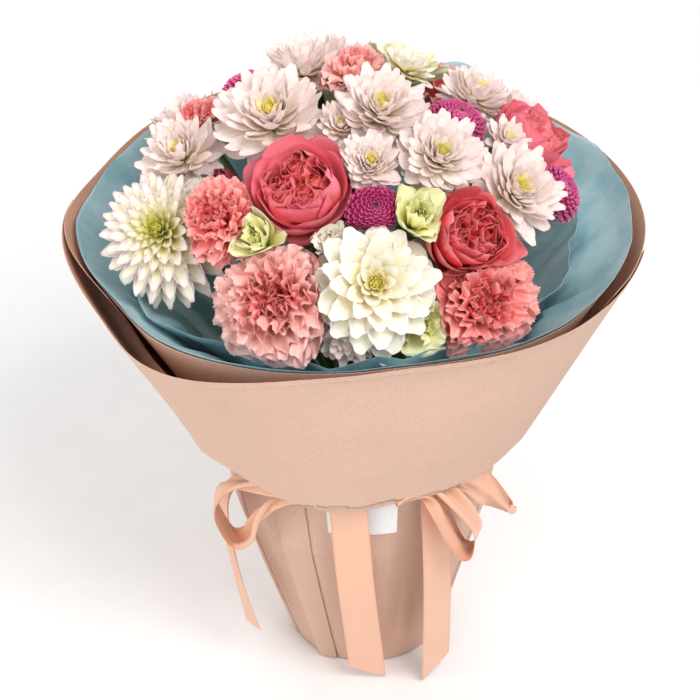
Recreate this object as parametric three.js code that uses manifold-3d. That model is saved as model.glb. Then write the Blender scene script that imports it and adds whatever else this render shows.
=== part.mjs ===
// A wrapped mixed bouquet: 38 blooms on one bound bunch of stems with a few leaves, two sheets of
// tissue, three sheets of wrapping paper and a folded strip of it, a ribbon with a bow and tails,
// and a blank card.
// Millimetres, +Z up. The origin is under the middle of the bouquet, on the table it stands on.
// Bearings are degrees round the stem axis: 0 is the front (-Y) and 90 the right (+X).
import * as THREE from 'three';
import { RoundedBoxGeometry } from 'three/addons/geometries/RoundedBoxGeometry.js';
import { mergeVertices } from 'three/addons/utils/BufferGeometryUtils.js';
import Module from 'manifold-3d';

const wasm = await Module();
wasm.setup();

// ---------------------------------------------------------------- driving dimensions
const GAP = 0.35; // between pieces that touch
const FOOT_CENTRE = [9, -9]; // x, y of the bunch where it stands
const RIM_CENTRE = [0, -10]; // x, y of the wrapping's mouth
const RIM_HEIGHT = 335;
const WAIST_HEIGHT = 196; // where the ribbon goes round
const SKIRT = [[0, 52], [60, 69.5], [125, 87], [WAIST_HEIGHT, 98.5]]; // height and inside radius of the paper
const PAPER = 0.9; // thickness of a sheet of paper
const TISSUE = 0.8;
const BINDING_HEIGHT = 150; // where twine holds the stems
const BINDING_RADIUS = 16;
const STEM_FOOT_RADIUS = 50;
const STEM_RADIUS = 2.4;
const RIBBON_WIDTH = 25;
const RIBBON = 0.8; // thickness
const CARD = { from: -13.5, to: 14.5, low: 151, high: 182, thickness: 0.6 }; // bearings and heights
const COLLAR = [-99, 81]; // bearings of the front sheet's two sides
const BACK = [63, 297];
const FLAP = [-36, -22.5]; // a fold of paper down the front

// The mouth's outline: bearing and radius of the outer paper, joined by a smooth closed curve.
const MOUTH = [
  [-180, 195], [-135, 187], [-112, 180], [-92, 186], [-60, 182], [-42, 186], [-20, 176],
  [0, 166], [15, 163], [45, 175], [60, 180], [90, 187], [135, 189],
];
// How the front sheet narrows downwards, and the height of its lower edge, by bearing.
const COLLAR_SLOPE = [
  [-99, 0.46], [-75, 0.48], [-55, 0.49], [-40, 0.48], [-20, 0.4], [0, 0.345], [20, 0.36],
  [45, 0.43], [60, 0.46], [81, 0.5],
];
const COLLAR_FOOT = [
  [-99, 206], [-72, 190], [-63, 192], [-54, 207], [-45, 224], [-36, 221], [-27, 207], [-18, 195],
  [-9, 189], [0, 190], [27, 194], [45, 199], [54, 206], [72, 204], [81, 204],
];

const COLOURS = {
  paper: 0xdcb09a, tissue: 0x8fb4ba, ribbon: 0xe8b595, card: 0xf4f2f0, stem: 0x6f8f4a, twine: 0xb59a6a,
  blush: 0xf2dfdc, cream: 0xf6efd9, lilac: 0xefe6dc, coral: 0xf08078, pink: 0xf2a09a, rose: 0xe0586a,
  magenta: 0xb02a78, green: 0xdfe3a0,
};

// name, kind, bearing, reach from the axis, height of its face, diameter, lean from upright, colour
const BLOOMS = [
  ['dahlia_left', 'dahlia', -64, 143, 377, 76, 46, 'lilac'],
  ['dahlia_front', 'dahlia', 6, 130, 379, 80, 46, 'cream'],
  ['dahlia_back', 'dahlia', 178, 138, 374, 70, 48, 'lilac'],
  ['mum_far_left', 'mum', -83, 115, 404, 52, 32, 'blush'],
  ['mum_top_left', 'mum', -80, 56, 433, 70, 16, 'blush'],
  ['mum_top_back', 'mum', -148, 66, 431, 50, 20, 'blush'],
  ['mum_top', 'mum', 48, 24, 440, 58, 10, 'blush'],
  ['mum_middle', 'mum', 10, 62, 424, 42, 24, 'blush'],
  ['mum_right', 'mum', 46, 77, 427, 56, 26, 'blush'],
  ['mum_far_right', 'mum', 63, 119, 402, 58, 36, 'blush'],
  ['mum_back_right', 'mum', 112, 88, 421, 46, 28, 'blush'],
  ['mum_back_cream', 'mum', 140, 55, 435, 36, 22, 'cream'],
  ['mum_tucked_left', 'mum', -20, 24, 428, 36, 12, 'blush'],
  ['mum_tucked_right', 'mum', 87, 100, 407, 32, 30, 'blush'],
  ['mum_low_front', 'mum', -2, 128, 340, 44, 80, 'blush'],
  ['mum_back_a', 'mum', -165, 104, 411, 54, 34, 'blush'],
  ['mum_back_b', 'mum', 126, 138, 377, 56, 46, 'blush'],
  ['mum_back_c', 'mum', -124, 143, 372, 54, 46, 'blush'],
  ['carnation_left', 'carnation', -47, 121, 399, 50, 38, 'coral'],
  ['carnation_front', 'carnation', -22, 138, 365, 72, 52, 'pink'],
  ['carnation_right', 'carnation', 37, 143, 355, 66, 56, 'coral'],
  ['carnation_top', 'carnation', 178, 38, 438, 48, 12, 'pink'],
  ['carnation_far_left', 'carnation', -108, 112, 400, 34, 36, 'coral'],
  ['carnation_back', 'carnation', 152, 137, 376, 58, 46, 'coral'],
  ['rose_left', 'rose', -26, 84, 419, 68, 30, 'rose'],
  ['rose_right', 'rose', 40, 122, 393, 62, 46, 'rose'],
  ['rose_far_right', 'rose', 99, 124, 401, 58, 40, 'rose'],
  ['rose_back', 'rose', -150, 140, 375, 60, 46, 'rose'],
  ['rose_bud', 'bud', -68, 92, 398, 26, 34, 'rose'],
  ['pompon_middle', 'pompon', 8, 93, 409, 38, 32, 'magenta'],
  ['pompon_back_right', 'pompon', 84, 68, 425, 40, 20, 'magenta'],
  ['pompon_far_right', 'pompon', 79, 138, 382, 38, 50, 'magenta'],
  ['pompon_far_left', 'pompon', -130, 98, 410, 32, 34, 'magenta'],
  ['lisianthus_left', 'lisianthus', -33, 116, 392, 38, 42, 'green'],
  ['lisianthus_middle', 'lisianthus', 23, 102, 406, 38, 36, 'green'],
  ['lisianthus_low', 'lisianthus', 19, 134, 345, 38, 66, 'green'],
  ['lisianthus_cream', 'lisianthus', -9, 99, 391, 26, 36, 'cream'],
  ['lisianthus_back', 'lisianthus', 158, 92, 414, 44, 30, 'green'],
];
// depth of a head from calyx to face, as a share of its diameter
const DEPTH = {
  dahlia: 0.42, mum: 0.46, carnation: 0.58, rose: 0.66, bud: 1.1, pompon: 0.62, lisianthus: 0.7,
};

// ---------------------------------------------------------------- small helpers
const radians = THREE.MathUtils.degToRad;
const mix = THREE.MathUtils.lerp;
const vec = (x, y, z) => new THREE.Vector3(x, y, z);
const wrapped = (bearing) => ((((bearing + 180) % 360) + 360) % 360) - 180;
const bump = (bearing, centre, width) => Math.exp(-((wrapped(bearing - centre) / width) ** 2));
const axisAt = (z) => [0, 1].map((i) => mix(FOOT_CENTRE[i], RIM_CENTRE[i], Math.min(z / RIM_HEIGHT, 1)));

function around(bearing, radius, z) {
  const [x, y] = axisAt(z);
  return vec(x + radius * Math.sin(radians(bearing)), y - radius * Math.cos(radians(bearing)), z);
}

// Reads a table of [position, value] rows, with straight lines between them.
function lookUp(rows, at) {
  const next = rows.findIndex(([start]) => start > at);
  if (next < 0) return rows[rows.length - 1][1];
  if (next === 0) return rows[0][1];
  const [[start, low], [end, high]] = [rows[next - 1], rows[next]];
  return mix(low, high, (at - start) / (end - start));
}

// A seeded draw between -1 and 1, so that every build is alike.
function dice(seed) {
  let state = seed * 2654435761 % 4294967296;
  return () => {
    state = (state * 1664525 + 1013904223) % 4294967296;
    return (state / 2147483648) - 1;
  };
}

// ---------------------------------------------------------------- solids
function solidFrom(points, triangles) {
  return new wasm.Manifold(new wasm.Mesh({
    numProp: 3,
    vertProperties: new Float32Array(points.flatMap((p) => [p.x, p.y, p.z])),
    triVerts: new Uint32Array(triangles.flat()),
  }));
}

function solidOf(geometry) {
  const bare = new THREE.BufferGeometry();
  bare.setAttribute('position', geometry.getAttribute('position'));
  bare.setIndex(geometry.index);
  const merged = mergeVertices(bare, 1e-3);
  return new wasm.Manifold(new wasm.Mesh({
    numProp: 3,
    vertProperties: merged.getAttribute('position').array,
    triVerts: new Uint32Array(merged.index.array),
  }));
}

// Joins solids, keeps the one largest body, and so fills hollows and drops scraps.
function joined(solids) {
  const bodies = wasm.Manifold.union(solids).decompose();
  return bodies.reduce((best, body) => (body.volume() > best.volume() ? body : best));
}

function meshOf(name, solid, colour, roughness = 0.8) {
  const { vertProperties, triVerts } = solid.getMesh();
  const geometry = new THREE.BufferGeometry();
  geometry.setAttribute('position', new THREE.BufferAttribute(vertProperties, 3));
  geometry.setIndex(new THREE.BufferAttribute(triVerts, 1));
  geometry.computeVertexNormals();
  const material = new THREE.MeshStandardMaterial({ color: COLOURS[colour], roughness, metalness: 0 });
  const mesh = new THREE.Mesh(geometry, material);
  mesh.name = name;
  return mesh;
}

// A thin solid on the surface pointAt(u, v): columns run along u and rows along v.
// `closed` joins the last column to the first. offset(point, u, v) gives the other face.
function sheetSolid(pointAt, offset, columns, rows, closed = false) {
  const across = closed ? columns : columns + 1;
  const points = [];
  for (const side of [0, 1]) {
    for (let i = 0; i < across; i++) {
      for (let j = 0; j <= rows; j++) {
        const [u, v] = [i / columns, j / rows];
        const point = pointAt(u, v);
        points.push(side ? offset(point, u, v) : point);
      }
    }
  }
  const at = (side, i, j) => side * across * (rows + 1) + (i % across) * (rows + 1) + j;
  const triangles = [];
  const quad = (a, b, c, d) => triangles.push([a, b, c], [a, c, d]);
  for (let i = 0; i < columns; i++) {
    for (let j = 0; j < rows; j++) {
      quad(at(1, i, j), at(1, i + 1, j), at(1, i + 1, j + 1), at(1, i, j + 1));
      quad(at(0, i, j), at(0, i, j + 1), at(0, i + 1, j + 1), at(0, i + 1, j));
    }
    quad(at(0, i, 0), at(0, i + 1, 0), at(1, i + 1, 0), at(1, i, 0));
    quad(at(0, i, rows), at(1, i, rows), at(1, i + 1, rows), at(0, i + 1, rows));
  }
  if (!closed) {
    for (let j = 0; j < rows; j++) {
      quad(at(0, 0, j), at(1, 0, j), at(1, 0, j + 1), at(0, 0, j + 1));
      quad(at(0, columns, j), at(0, columns, j + 1), at(1, columns, j + 1), at(1, columns, j));
    }
  }
  return solidFrom(points, triangles);
}

// ---------------------------------------------------------------- heads, in a head's own frame
// A head's axis is +Z and its calyx stands on z = 0. Its heart is a dome of rings of corners, each
// ring half a step round from the one below, so that the dome is made of diamonds. A petal grows
// out of each diamond: a blade whose rim runs through the points of `outline`.
// Outline points are [share of the way to the tip, share of half the width, lift as a share of it].
const POINTED = [[0.58, -1, 0.16], [1, 0, 0], [0.58, 1, 0.16]];
const ROUND = [[0.45, -1, 0.2], [1, -0.5, 0], [1, 0.5, 0], [0.45, 1, 0.2]];
const FRILLED = [
  [0.55, -0.7, -0.1], [0.98, -1, 0.25], [0.86, -0.1, -0.25], [1, 0.5, 0.25], [0.6, 0.95, -0.15],
];
const SCALE = [[1, 0, 0]];

function headSolid({ sides, rings, rows, outline, wobble = 0.05 }, radius, depth, draw) {
  const step = 360 / sides;
  const points = [];
  const triangles = [];
  const place = (turn, reach, height) => vec(
    Math.cos(radians(turn)) * reach * radius, Math.sin(radians(turn)) * reach * radius, height * depth);
  rings.forEach(([reach, height], j) => {
    for (let k = 0; k < sides; k++) {
      points.push(place((k + j / 2) * step, j ? reach : 3 / radius, height));
    }
  });
  const at = (j, k) => j * sides + ((k + sides) % sides);
  const base = points.push(vec(0, 0, 0)) - 1;
  const crown = points.push(place(0, 0, rings[rings.length - 1][1] + 0.02)) - 1;

  function petal(j, k) {
    const [low, left, right, high] = [at(j - 1, k), at(j, k - 1), at(j, k), at(j + 1, k - 1)];
    const [reach, height, width] = rows[j - 1];
    const turn = (k + (j - 1) / 2) * step + step * wobble * draw();
    const tip = place(turn, reach * (1 + wobble * draw()), height * (1 + wobble * draw()));
    const root = vec(0, 0, 0);
    for (const corner of [low, left, right, high]) root.addScaledVector(points[corner], 0.25);
    const along = tip.clone().sub(root);
    const side = vec(-Math.sin(radians(turn)), Math.cos(radians(turn)), 0).multiplyScalar(width * radius / 2);
    const lift = along.clone().cross(side).normalize().multiplyScalar(width * radius / 2);
    const rim = outline.map(([share, across, up]) => points.push(root.clone()
      .addScaledVector(along, share).addScaledVector(side, across).addScaledVector(lift, up)) - 1);
    const edge = [left, ...rim, right];
    for (let i = 0; i < edge.length - 1; i++) {
      triangles.push([low, edge[i + 1], edge[i]], [high, edge[i], edge[i + 1]]);
    }
  }

  const last = rings.length - 1;
  for (let k = 0; k < sides; k++) {
    for (let j = 1; j < last; j++) petal(j, k);
    triangles.push([at(0, k + 1), at(0, k), base], [at(0, k), at(0, k + 1), at(1, k)]);
    triangles.push([at(last, k), at(last, k - 1), at(last - 1, k)], [at(last, k - 1), at(last, k), crown]);
  }
  return solidFrom(points, triangles);
}

// rings: [radius, height] of the dome's corners; rows: [radius, height, width] of each row's petals,
// all as shares of the head's radius and depth. Petals are narrow enough not to cross their neighbours.
const HEADS = {
  mum: {
    sides: 8, outline: POINTED,
    rings: [[0, 0], [0.4, 0.28], [0.46, 0.5], [0.36, 0.68], [0.2, 0.8], [0.08, 0.86]],
    rows: [[1, 0.36, 0.44], [0.92, 0.62, 0.38], [0.68, 0.88, 0.28], [0.36, 1, 0.16]],
  },
  mum_small: {
    sides: 7, outline: POINTED,
    rings: [[0, 0], [0.42, 0.32], [0.44, 0.58], [0.28, 0.76], [0.12, 0.84]],
    rows: [[1, 0.4, 0.48], [0.86, 0.74, 0.38], [0.46, 1, 0.2]],
  },
  dahlia: {
    sides: 9, outline: POINTED, wobble: 0.02,
    rings: [[0, 0], [0.42, 0.24], [0.52, 0.44], [0.42, 0.64], [0.24, 0.78], [0.08, 0.84]],
    rows: [[1, 0.24, 0.44], [0.94, 0.54, 0.4], [0.74, 0.82, 0.31], [0.42, 1, 0.18]],
  },
  carnation: {
    sides: 6, outline: FRILLED,
    rings: [[0, 0], [0.3, 0.36], [0.5, 0.58], [0.34, 0.74], [0.12, 0.82]],
    rows: [[1, 0.5, 0.84], [0.86, 0.8, 0.7], [0.44, 1, 0.4]],
  },
  rose: {
    sides: 5, outline: ROUND, wobble: 0.03,
    rings: [[0, 0], [0.56, 0.28], [0.68, 0.5], [0.5, 0.62], [0.3, 0.68], [0.12, 0.7]],
    rows: [[1, 0.6, 0.8], [0.86, 0.86, 0.66], [0.56, 0.96, 0.42], [0.3, 1, 0.22]],
  },
  bud: {
    sides: 4, outline: ROUND,
    rings: [[0, 0], [0.7, 0.34], [0.5, 0.7], [0.16, 0.84]],
    rows: [[0.96, 0.7, 0.9], [0.4, 1, 0.4]],
  },
  pompon: {
    sides: 9, outline: SCALE, wobble: 0.01,
    rings: [[0, 0], [0.66, 0.22], [0.84, 0.48], [0.68, 0.72], [0.42, 0.86], [0.18, 0.92]],
    rows: [[0.86, 0.3, 0], [1, 0.56, 0], [0.8, 0.84, 0], [0.44, 1, 0]],
  },
  lisianthus: {
    sides: 5, outline: FRILLED,
    rings: [[0, 0], [0.4, 0.34], [0.5, 0.54], [0.36, 0.66], [0.16, 0.72]],
    rows: [[1, 0.7, 0.84], [0.78, 0.92, 0.64], [0.36, 1, 0.3]],
  },
};

// ---------------------------------------------------------------- where each head is
const heads = BLOOMS.map(([name, kind, bearing, reach, height, diameter, lean, colour], i) => {
  const face = around(bearing, reach, height);
  const axis = vec(Math.sin(radians(bearing)) * Math.sin(radians(lean)),
    -Math.cos(radians(bearing)) * Math.sin(radians(lean)), Math.cos(radians(lean)));
  const depth = diameter * DEPTH[kind];
  const base = face.clone().addScaledVector(axis, -depth);
  const middle = face.clone().addScaledVector(axis, -depth * 0.45);
  return { name, kind, colour, axis, base, middle, depth, radius: diameter / 2, bearing, reach, seed: i + 1 };
});

// ---------------------------------------------------------------- the sheets' shapes
const mouthRadius = (() => {
  const bearings = MOUTH.map(([bearing]) => bearing);
  const n = MOUTH.length;
  return (bearing) => {
    const b = wrapped(bearing);
    let i = bearings.findLastIndex((start) => start <= b);
    if (i < 0) i = n - 1;
    const start = bearings[i];
    const end = i + 1 < n ? bearings[i + 1] : 180;
    const t = (b - start) / (end - start);
    const [p, q, r, s] = [-1, 0, 1, 2].map((k) => MOUTH[(i + k + n) % n][1]);
    return q + 0.5 * t * (r - p + t * (2 * p - 5 * q + 4 * r - s + t * (3 * (q - r) + s - p)));
  };
})();
const rimHeight = (bearing) => RIM_HEIGHT - 12 * bump(bearing, -40, 22) + 4 * bump(bearing, 10, 35);
const innerMouth = (bearing) => mouthRadius(bearing) - 4
  - 7 * bump(bearing, -50, 40) - 8 * bump(bearing, 90, 35);

// The skirt up to the waist, and a wider cone from there to the mouth.
function paperRadius(mouth, z) {
  if (z <= WAIST_HEIGHT) return lookUp(SKIRT, z);
  return mix(lookUp(SKIRT, z), mouth, (z - WAIST_HEIGHT) / (RIM_HEIGHT - WAIST_HEIGHT));
}
const innerPaper = (bearing, z) => paperRadius(innerMouth(bearing), z);
const backPaper = (bearing, z) => PAPER + 0.4
  + paperRadius(Math.max(mouthRadius(bearing) - PAPER - 0.4, innerMouth(bearing)), z);
function outsidePaper(bearing, z) {
  const behind = bearing >= BACK[0] || bearing <= BACK[1] - 360;
  return (behind ? backPaper(bearing, z) : innerPaper(bearing, z)) + PAPER;
}
const collarRadius = (bearing, z) => Math.max(
  mouthRadius(bearing) + 1.7 - lookUp(COLLAR_SLOPE, bearing) * (rimHeight(bearing) - z),
  backPaper(bearing, z) + PAPER + 0.4);
const TISSUE_FOOT = [22.6, BINDING_HEIGHT + 1]; // radius and height where the tissue is gathered
function tissueRadius(bearing, z, inset, folds) {
  const share = Math.min(Math.max((z - TISSUE_FOOT[1]) / (RIM_HEIGHT - TISSUE_FOOT[1]), 0), 1.08);
  const top = innerMouth(bearing) - inset - 3.6 - 2.4 * Math.sin(radians(bearing * folds + 40 * inset));
  return mix(TISSUE_FOOT[0] + (inset > 6 ? 0 : 1.4), top, share);
}

// ---------------------------------------------------------------- bending clear
// Moves s smoothly back below a limit, starting `ease` short of it.
const held = (s, limit, ease) => (s < limit - ease ? s : limit - ease * Math.exp(-(s - limit + ease) / ease));

// A head's petals bend where they would meet a neighbour, the tissue or each other's space.
function bentClear(point, head) {
  for (const other of heads) {
    if (other === head) continue;
    const towards = other.middle.clone().sub(head.middle);
    const distance = towards.length();
    if (distance > head.radius + other.radius + 20) continue;
    towards.normalize();
    const limit = (distance ** 2 + head.radius ** 2 - other.radius ** 2) / (2 * distance) - GAP / 2;
    const along = point.clone().sub(head.middle).dot(towards);
    point.addScaledVector(towards, held(along, Math.max(limit, 4), 5) - along);
  }
  const [x, y] = axisAt(point.z);
  const reach = Math.hypot(point.x - x, point.y - y);
  const bearing = THREE.MathUtils.radToDeg(Math.atan2(point.x - x, y - point.y));
  const allowed = held(reach, tissueRadius(bearing, point.z, 8, 7) - 3.5, 5);
  point.x = x + (point.x - x) * allowed / reach;
  point.y = y + (point.y - y) * allowed / reach;
  return point;
}

// ---------------------------------------------------------------- stems
const bySpread = [...heads].sort((a, b) => a.reach - b.reach);
function stemPath(head) {
  const share = Math.sqrt((bySpread.indexOf(head) + 0.5) / heads.length);
  const twist = 28; // degrees that a stem turns from its head to the binding, and again to the foot
  const foot = around(head.bearing - 2 * twist, STEM_FOOT_RADIUS * share, -6);
  const binding = around(head.bearing - twist, BINDING_RADIUS * share, BINDING_HEIGHT);
  const handle = binding.clone().sub(foot).multiplyScalar(0.45);
  const path = new THREE.CurvePath();
  path.add(new THREE.LineCurve3(foot, binding));
  path.add(new THREE.CubicBezierCurve3(binding, binding.clone().add(handle),
    head.base.clone().addScaledVector(head.axis, -60), head.base));
  return path;
}

// A four-sided rod along a head's stem, `fat` mm thicker all round and at its top.
function stemTube(head, fat = 0) {
  const [straight, bent] = stemPath(head).curves;
  const stations = [[straight, 0], [straight, 1], [bent, 0.36], [bent, 0.7], [bent, 1]];
  const sides = 4;
  const radius = STEM_RADIUS + fat;
  const points = stations.flatMap(([curve, t], row) => {
    const last = row === stations.length - 1;
    const tangent = last ? head.axis : curve.getTangent(t).normalize();
    const centre = curve.getPoint(t).addScaledVector(head.axis, last ? fat * 0.9 : 0);
    const side = vec(1, 0, 0).addScaledVector(tangent, -tangent.x).normalize();
    const other = tangent.clone().cross(side);
    return Array.from({ length: sides }, (_, k) => centre.clone()
      .addScaledVector(side, radius * Math.cos(radians(90 * k)))
      .addScaledVector(other, radius * Math.sin(radians(90 * k))));
  });
  const triangles = [];
  for (let row = 0; row < stations.length - 1; row++) {
    for (let k = 0; k < sides; k++) {
      const [a, b] = [row * sides + k, row * sides + (k + 1) % sides];
      triangles.push([a, b, b + sides], [a, b + sides, a + sides]);
    }
  }
  const top = (stations.length - 1) * sides;
  for (let k = 1; k < sides - 1; k++) triangles.push([0, k + 1, k], [top, top + k, top + k + 1]);
  return solidFrom(points, triangles);
}

// Leaves grow outwards from some of the stems, below the heads.
const LEAVES = [
  ['rose_bud', 34, 16], ['mum_far_left', 34, 16], ['carnation_left', 32, 15], ['rose_far_right', 36, 17],
  ['mum_far_right', 34, 16], ['rose_back', 36, 17], ['dahlia_back', 34, 16], ['mum_back_b', 34, 16],
];
function leafSolid([name, length, width]) {
  const head = heads.find((one) => one.name === name);
  const root = stemPath(head).curves[1].getPoint(0.72);
  const away = vec(head.axis.x, head.axis.y, 0).normalize();
  const along = away.clone().multiplyScalar(0.62).setZ(0.78);
  const side = vec(-away.y, away.x, 0);
  const lift = along.clone().cross(side);
  const spot = (share, across, up) => root.clone().addScaledVector(along, share * length)
    .addScaledVector(side, across * width / 2).addScaledVector(lift, up);
  const rim = [
    spot(0, 0, 0), spot(0.3, -0.8, 1), spot(0.6, -1, 1), spot(1, 0, 0), spot(0.6, 1, 1), spot(0.3, 0.8, 1),
  ];
  const points = [...rim, spot(0.45, 0, -0.2), spot(0.45, 0, -1.6)];
  const triangles = rim.flatMap((_, i) => [[i, (i + 1) % 6, 6], [(i + 1) % 6, i, 7]]);
  return solidFrom(points, triangles);
}

// All the stems fused: between them at the binding is a heart of the stems packed there.
function stemBunch() {
  const packed = new THREE.CylinderGeometry(BINDING_RADIUS - 1, BINDING_RADIUS - 1, 40, 12);
  const heart = solidOf(packed.rotateX(Math.PI / 2));
  const [x, y] = axisAt(BINDING_HEIGHT);
  const rods = heads.map((head) => stemTube(head));
  const leaves = LEAVES.map(leafSolid);
  return joined([heart.translate([x, y, BINDING_HEIGHT]), ...rods, ...leaves]).trimByPlane([0, 0, 1], 0);
}
const stemRoom = wasm.Manifold.union(heads.map((head) => stemTube(head, GAP)));

function bloomSolid(head) {
  const turn = new THREE.Quaternion().setFromUnitVectors(vec(0, 0, 1), head.axis);
  const calyx = head.base.clone().addScaledVector(head.axis, GAP);
  const place = (x, y, z) => {
    const point = vec(x, y, z).applyQuaternion(turn).add(calyx);
    return z < 0.01 ? point : bentClear(point, head);
  };
  const small = head.kind === 'mum' && head.radius < 24;
  const solid = headSolid(HEADS[small ? 'mum_small' : head.kind], head.radius, head.depth, dice(head.seed));
  return joined([solid.warp((p) => {
    [p[0], p[1], p[2]] = place(p[0], p[1], p[2]).toArray();
  }).subtract(stemRoom)]);
}

// ---------------------------------------------------------------- sheets of paper and tissue
// A sheet between two bearings, with a row of corners at each of the heights it has at a bearing.
function coneSheet(radiusAt, [from, to], heightsAt, thickness, columns) {
  const closed = to - from >= 360;
  const rows = heightsAt(from).length - 1;
  const spot = (u, v, lift) => {
    const bearing = wrapped(mix(from, to, u));
    const z = heightsAt(bearing)[Math.round(v * rows)];
    return around(bearing, radiusAt(bearing, z) + lift, z);
  };
  return sheetSolid((u, v) => spot(u, v, 0), (_, u, v) => spot(u, v, thickness), columns, rows, closed);
}

const ALL_ROUND = [-180, 180];
const skirtHeights = [0.6, ...SKIRT.slice(1).map(([z]) => z)];
function collarHeights(bearing) {
  const [low, high] = [lookUp(COLLAR_FOOT, bearing), rimHeight(bearing)];
  return [0, 0.33, 0.67, 1].map((share) => mix(low, high, share));
}
const tissueTop = (bearing) => RIM_HEIGHT + 4 + 6 * bump(bearing, 90, 40) + 12 * bump(bearing, 158, 8);

const SHEETS = {
  wrap_inner: () => coneSheet(innerPaper, ALL_ROUND, () => [...skirtHeights, RIM_HEIGHT - 1], PAPER, 40),
  wrap_back: () => coneSheet(backPaper, BACK, (b) => [...skirtHeights, rimHeight(b) + 1], PAPER, 26),
  wrap_flap: () => coneSheet((b, z) => innerPaper(b, z) + PAPER + 0.7, FLAP,
    () => [...skirtHeights.slice(0, 3), 182], PAPER, 2),
  wrap_collar: () => coneSheet(collarRadius, COLLAR, collarHeights, PAPER, 20),
  tissue_outer: () => coneSheet((b, z) => tissueRadius(b, z, 0, 5), ALL_ROUND,
    (b) => [TISSUE_FOOT[1], RIM_HEIGHT, tissueTop(b)], TISSUE, 40),
  tissue_inner: () => coneSheet((b, z) => tissueRadius(b, z, 8, 7), ALL_ROUND,
    () => [TISSUE_FOOT[1], RIM_HEIGHT - 8], TISSUE, 40),
};

// ---------------------------------------------------------------- ribbon, twine and card
// A strip of ribbon through stations of bearing, radius, height and the way its width runs. Its
// last edge is cut `skew` mm off square.
function strip(stations, steps, skew = 0) {
  const line = new THREE.CatmullRomCurve3(stations.map(([b, r, z]) => around(b, r, z)));
  const across = new THREE.CatmullRomCurve3(stations.map(([, , , x, y, z]) => vec(x, y, z)));
  const spot = (u, v, lift) => {
    const wide = across.getPoint(u);
    const tangent = line.getTangent(u);
    const normal = tangent.clone().cross(wide).normalize();
    return line.getPoint(u).addScaledVector(wide, (v - 0.5) * RIBBON_WIDTH)
      .addScaledVector(normal, lift).addScaledVector(tangent, u > 0.999 ? skew * (v - 0.5) : 0);
  };
  const solid = sheetSolid((u, v) => spot(u, v, -RIBBON / 2), (_, u, v) => spot(u, v, RIBBON / 2), steps, 1);
  return solid.volume() > 0 ? solid : sheetSolid((u, v) => spot(u, v, RIBBON / 2),
    (_, u, v) => spot(u, v, -RIBBON / 2), steps, 1);
}

const KNOT = { bearing: 8, radius: 108.6, height: 197, lean: 14, size: [14, 9, 18] };
function knotSolid() {
  const { bearing, radius, height, lean, size } = KNOT;
  const box = new RoundedBoxGeometry(...size, 1, 1.5).rotateX(radians(lean)).rotateZ(radians(bearing));
  return solidOf(box).translate(around(bearing, radius, height).toArray());
}

const bandSolid = () => coneSheet((b, z) => outsidePaper(b, z) + GAP, ALL_ROUND,
  () => [-0.5, 0, 0.5].map((share) => WAIST_HEIGHT + share * RIBBON_WIDTH), RIBBON, 40);

const twineSolid = () => {
  const [inside, outside] = [20, TISSUE_FOOT[0] - 0.4];
  const coils = [1, 2, 3].flatMap((k) => [[outside, 2 * k - 0.6], [outside - 0.7, 2 * k + 0.6]]);
  const profile = [[inside, 0.4], ...coils, [inside, 7.6], [inside, 0.4]];
  const ring = new THREE.LatheGeometry(profile.map(([r, z]) => new THREE.Vector2(r, z)), 16);
  const [x, y] = axisAt(BINDING_HEIGHT);
  return solidOf(ring.rotateX(Math.PI / 2)).translate([x, y, BINDING_HEIGHT - 4]);
};

const cardSolid = () => coneSheet((b, z) => innerPaper(b, z) + PAPER + 0.7, [CARD.from, CARD.to],
  () => [CARD.low, CARD.high], CARD.thickness, 3);

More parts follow.
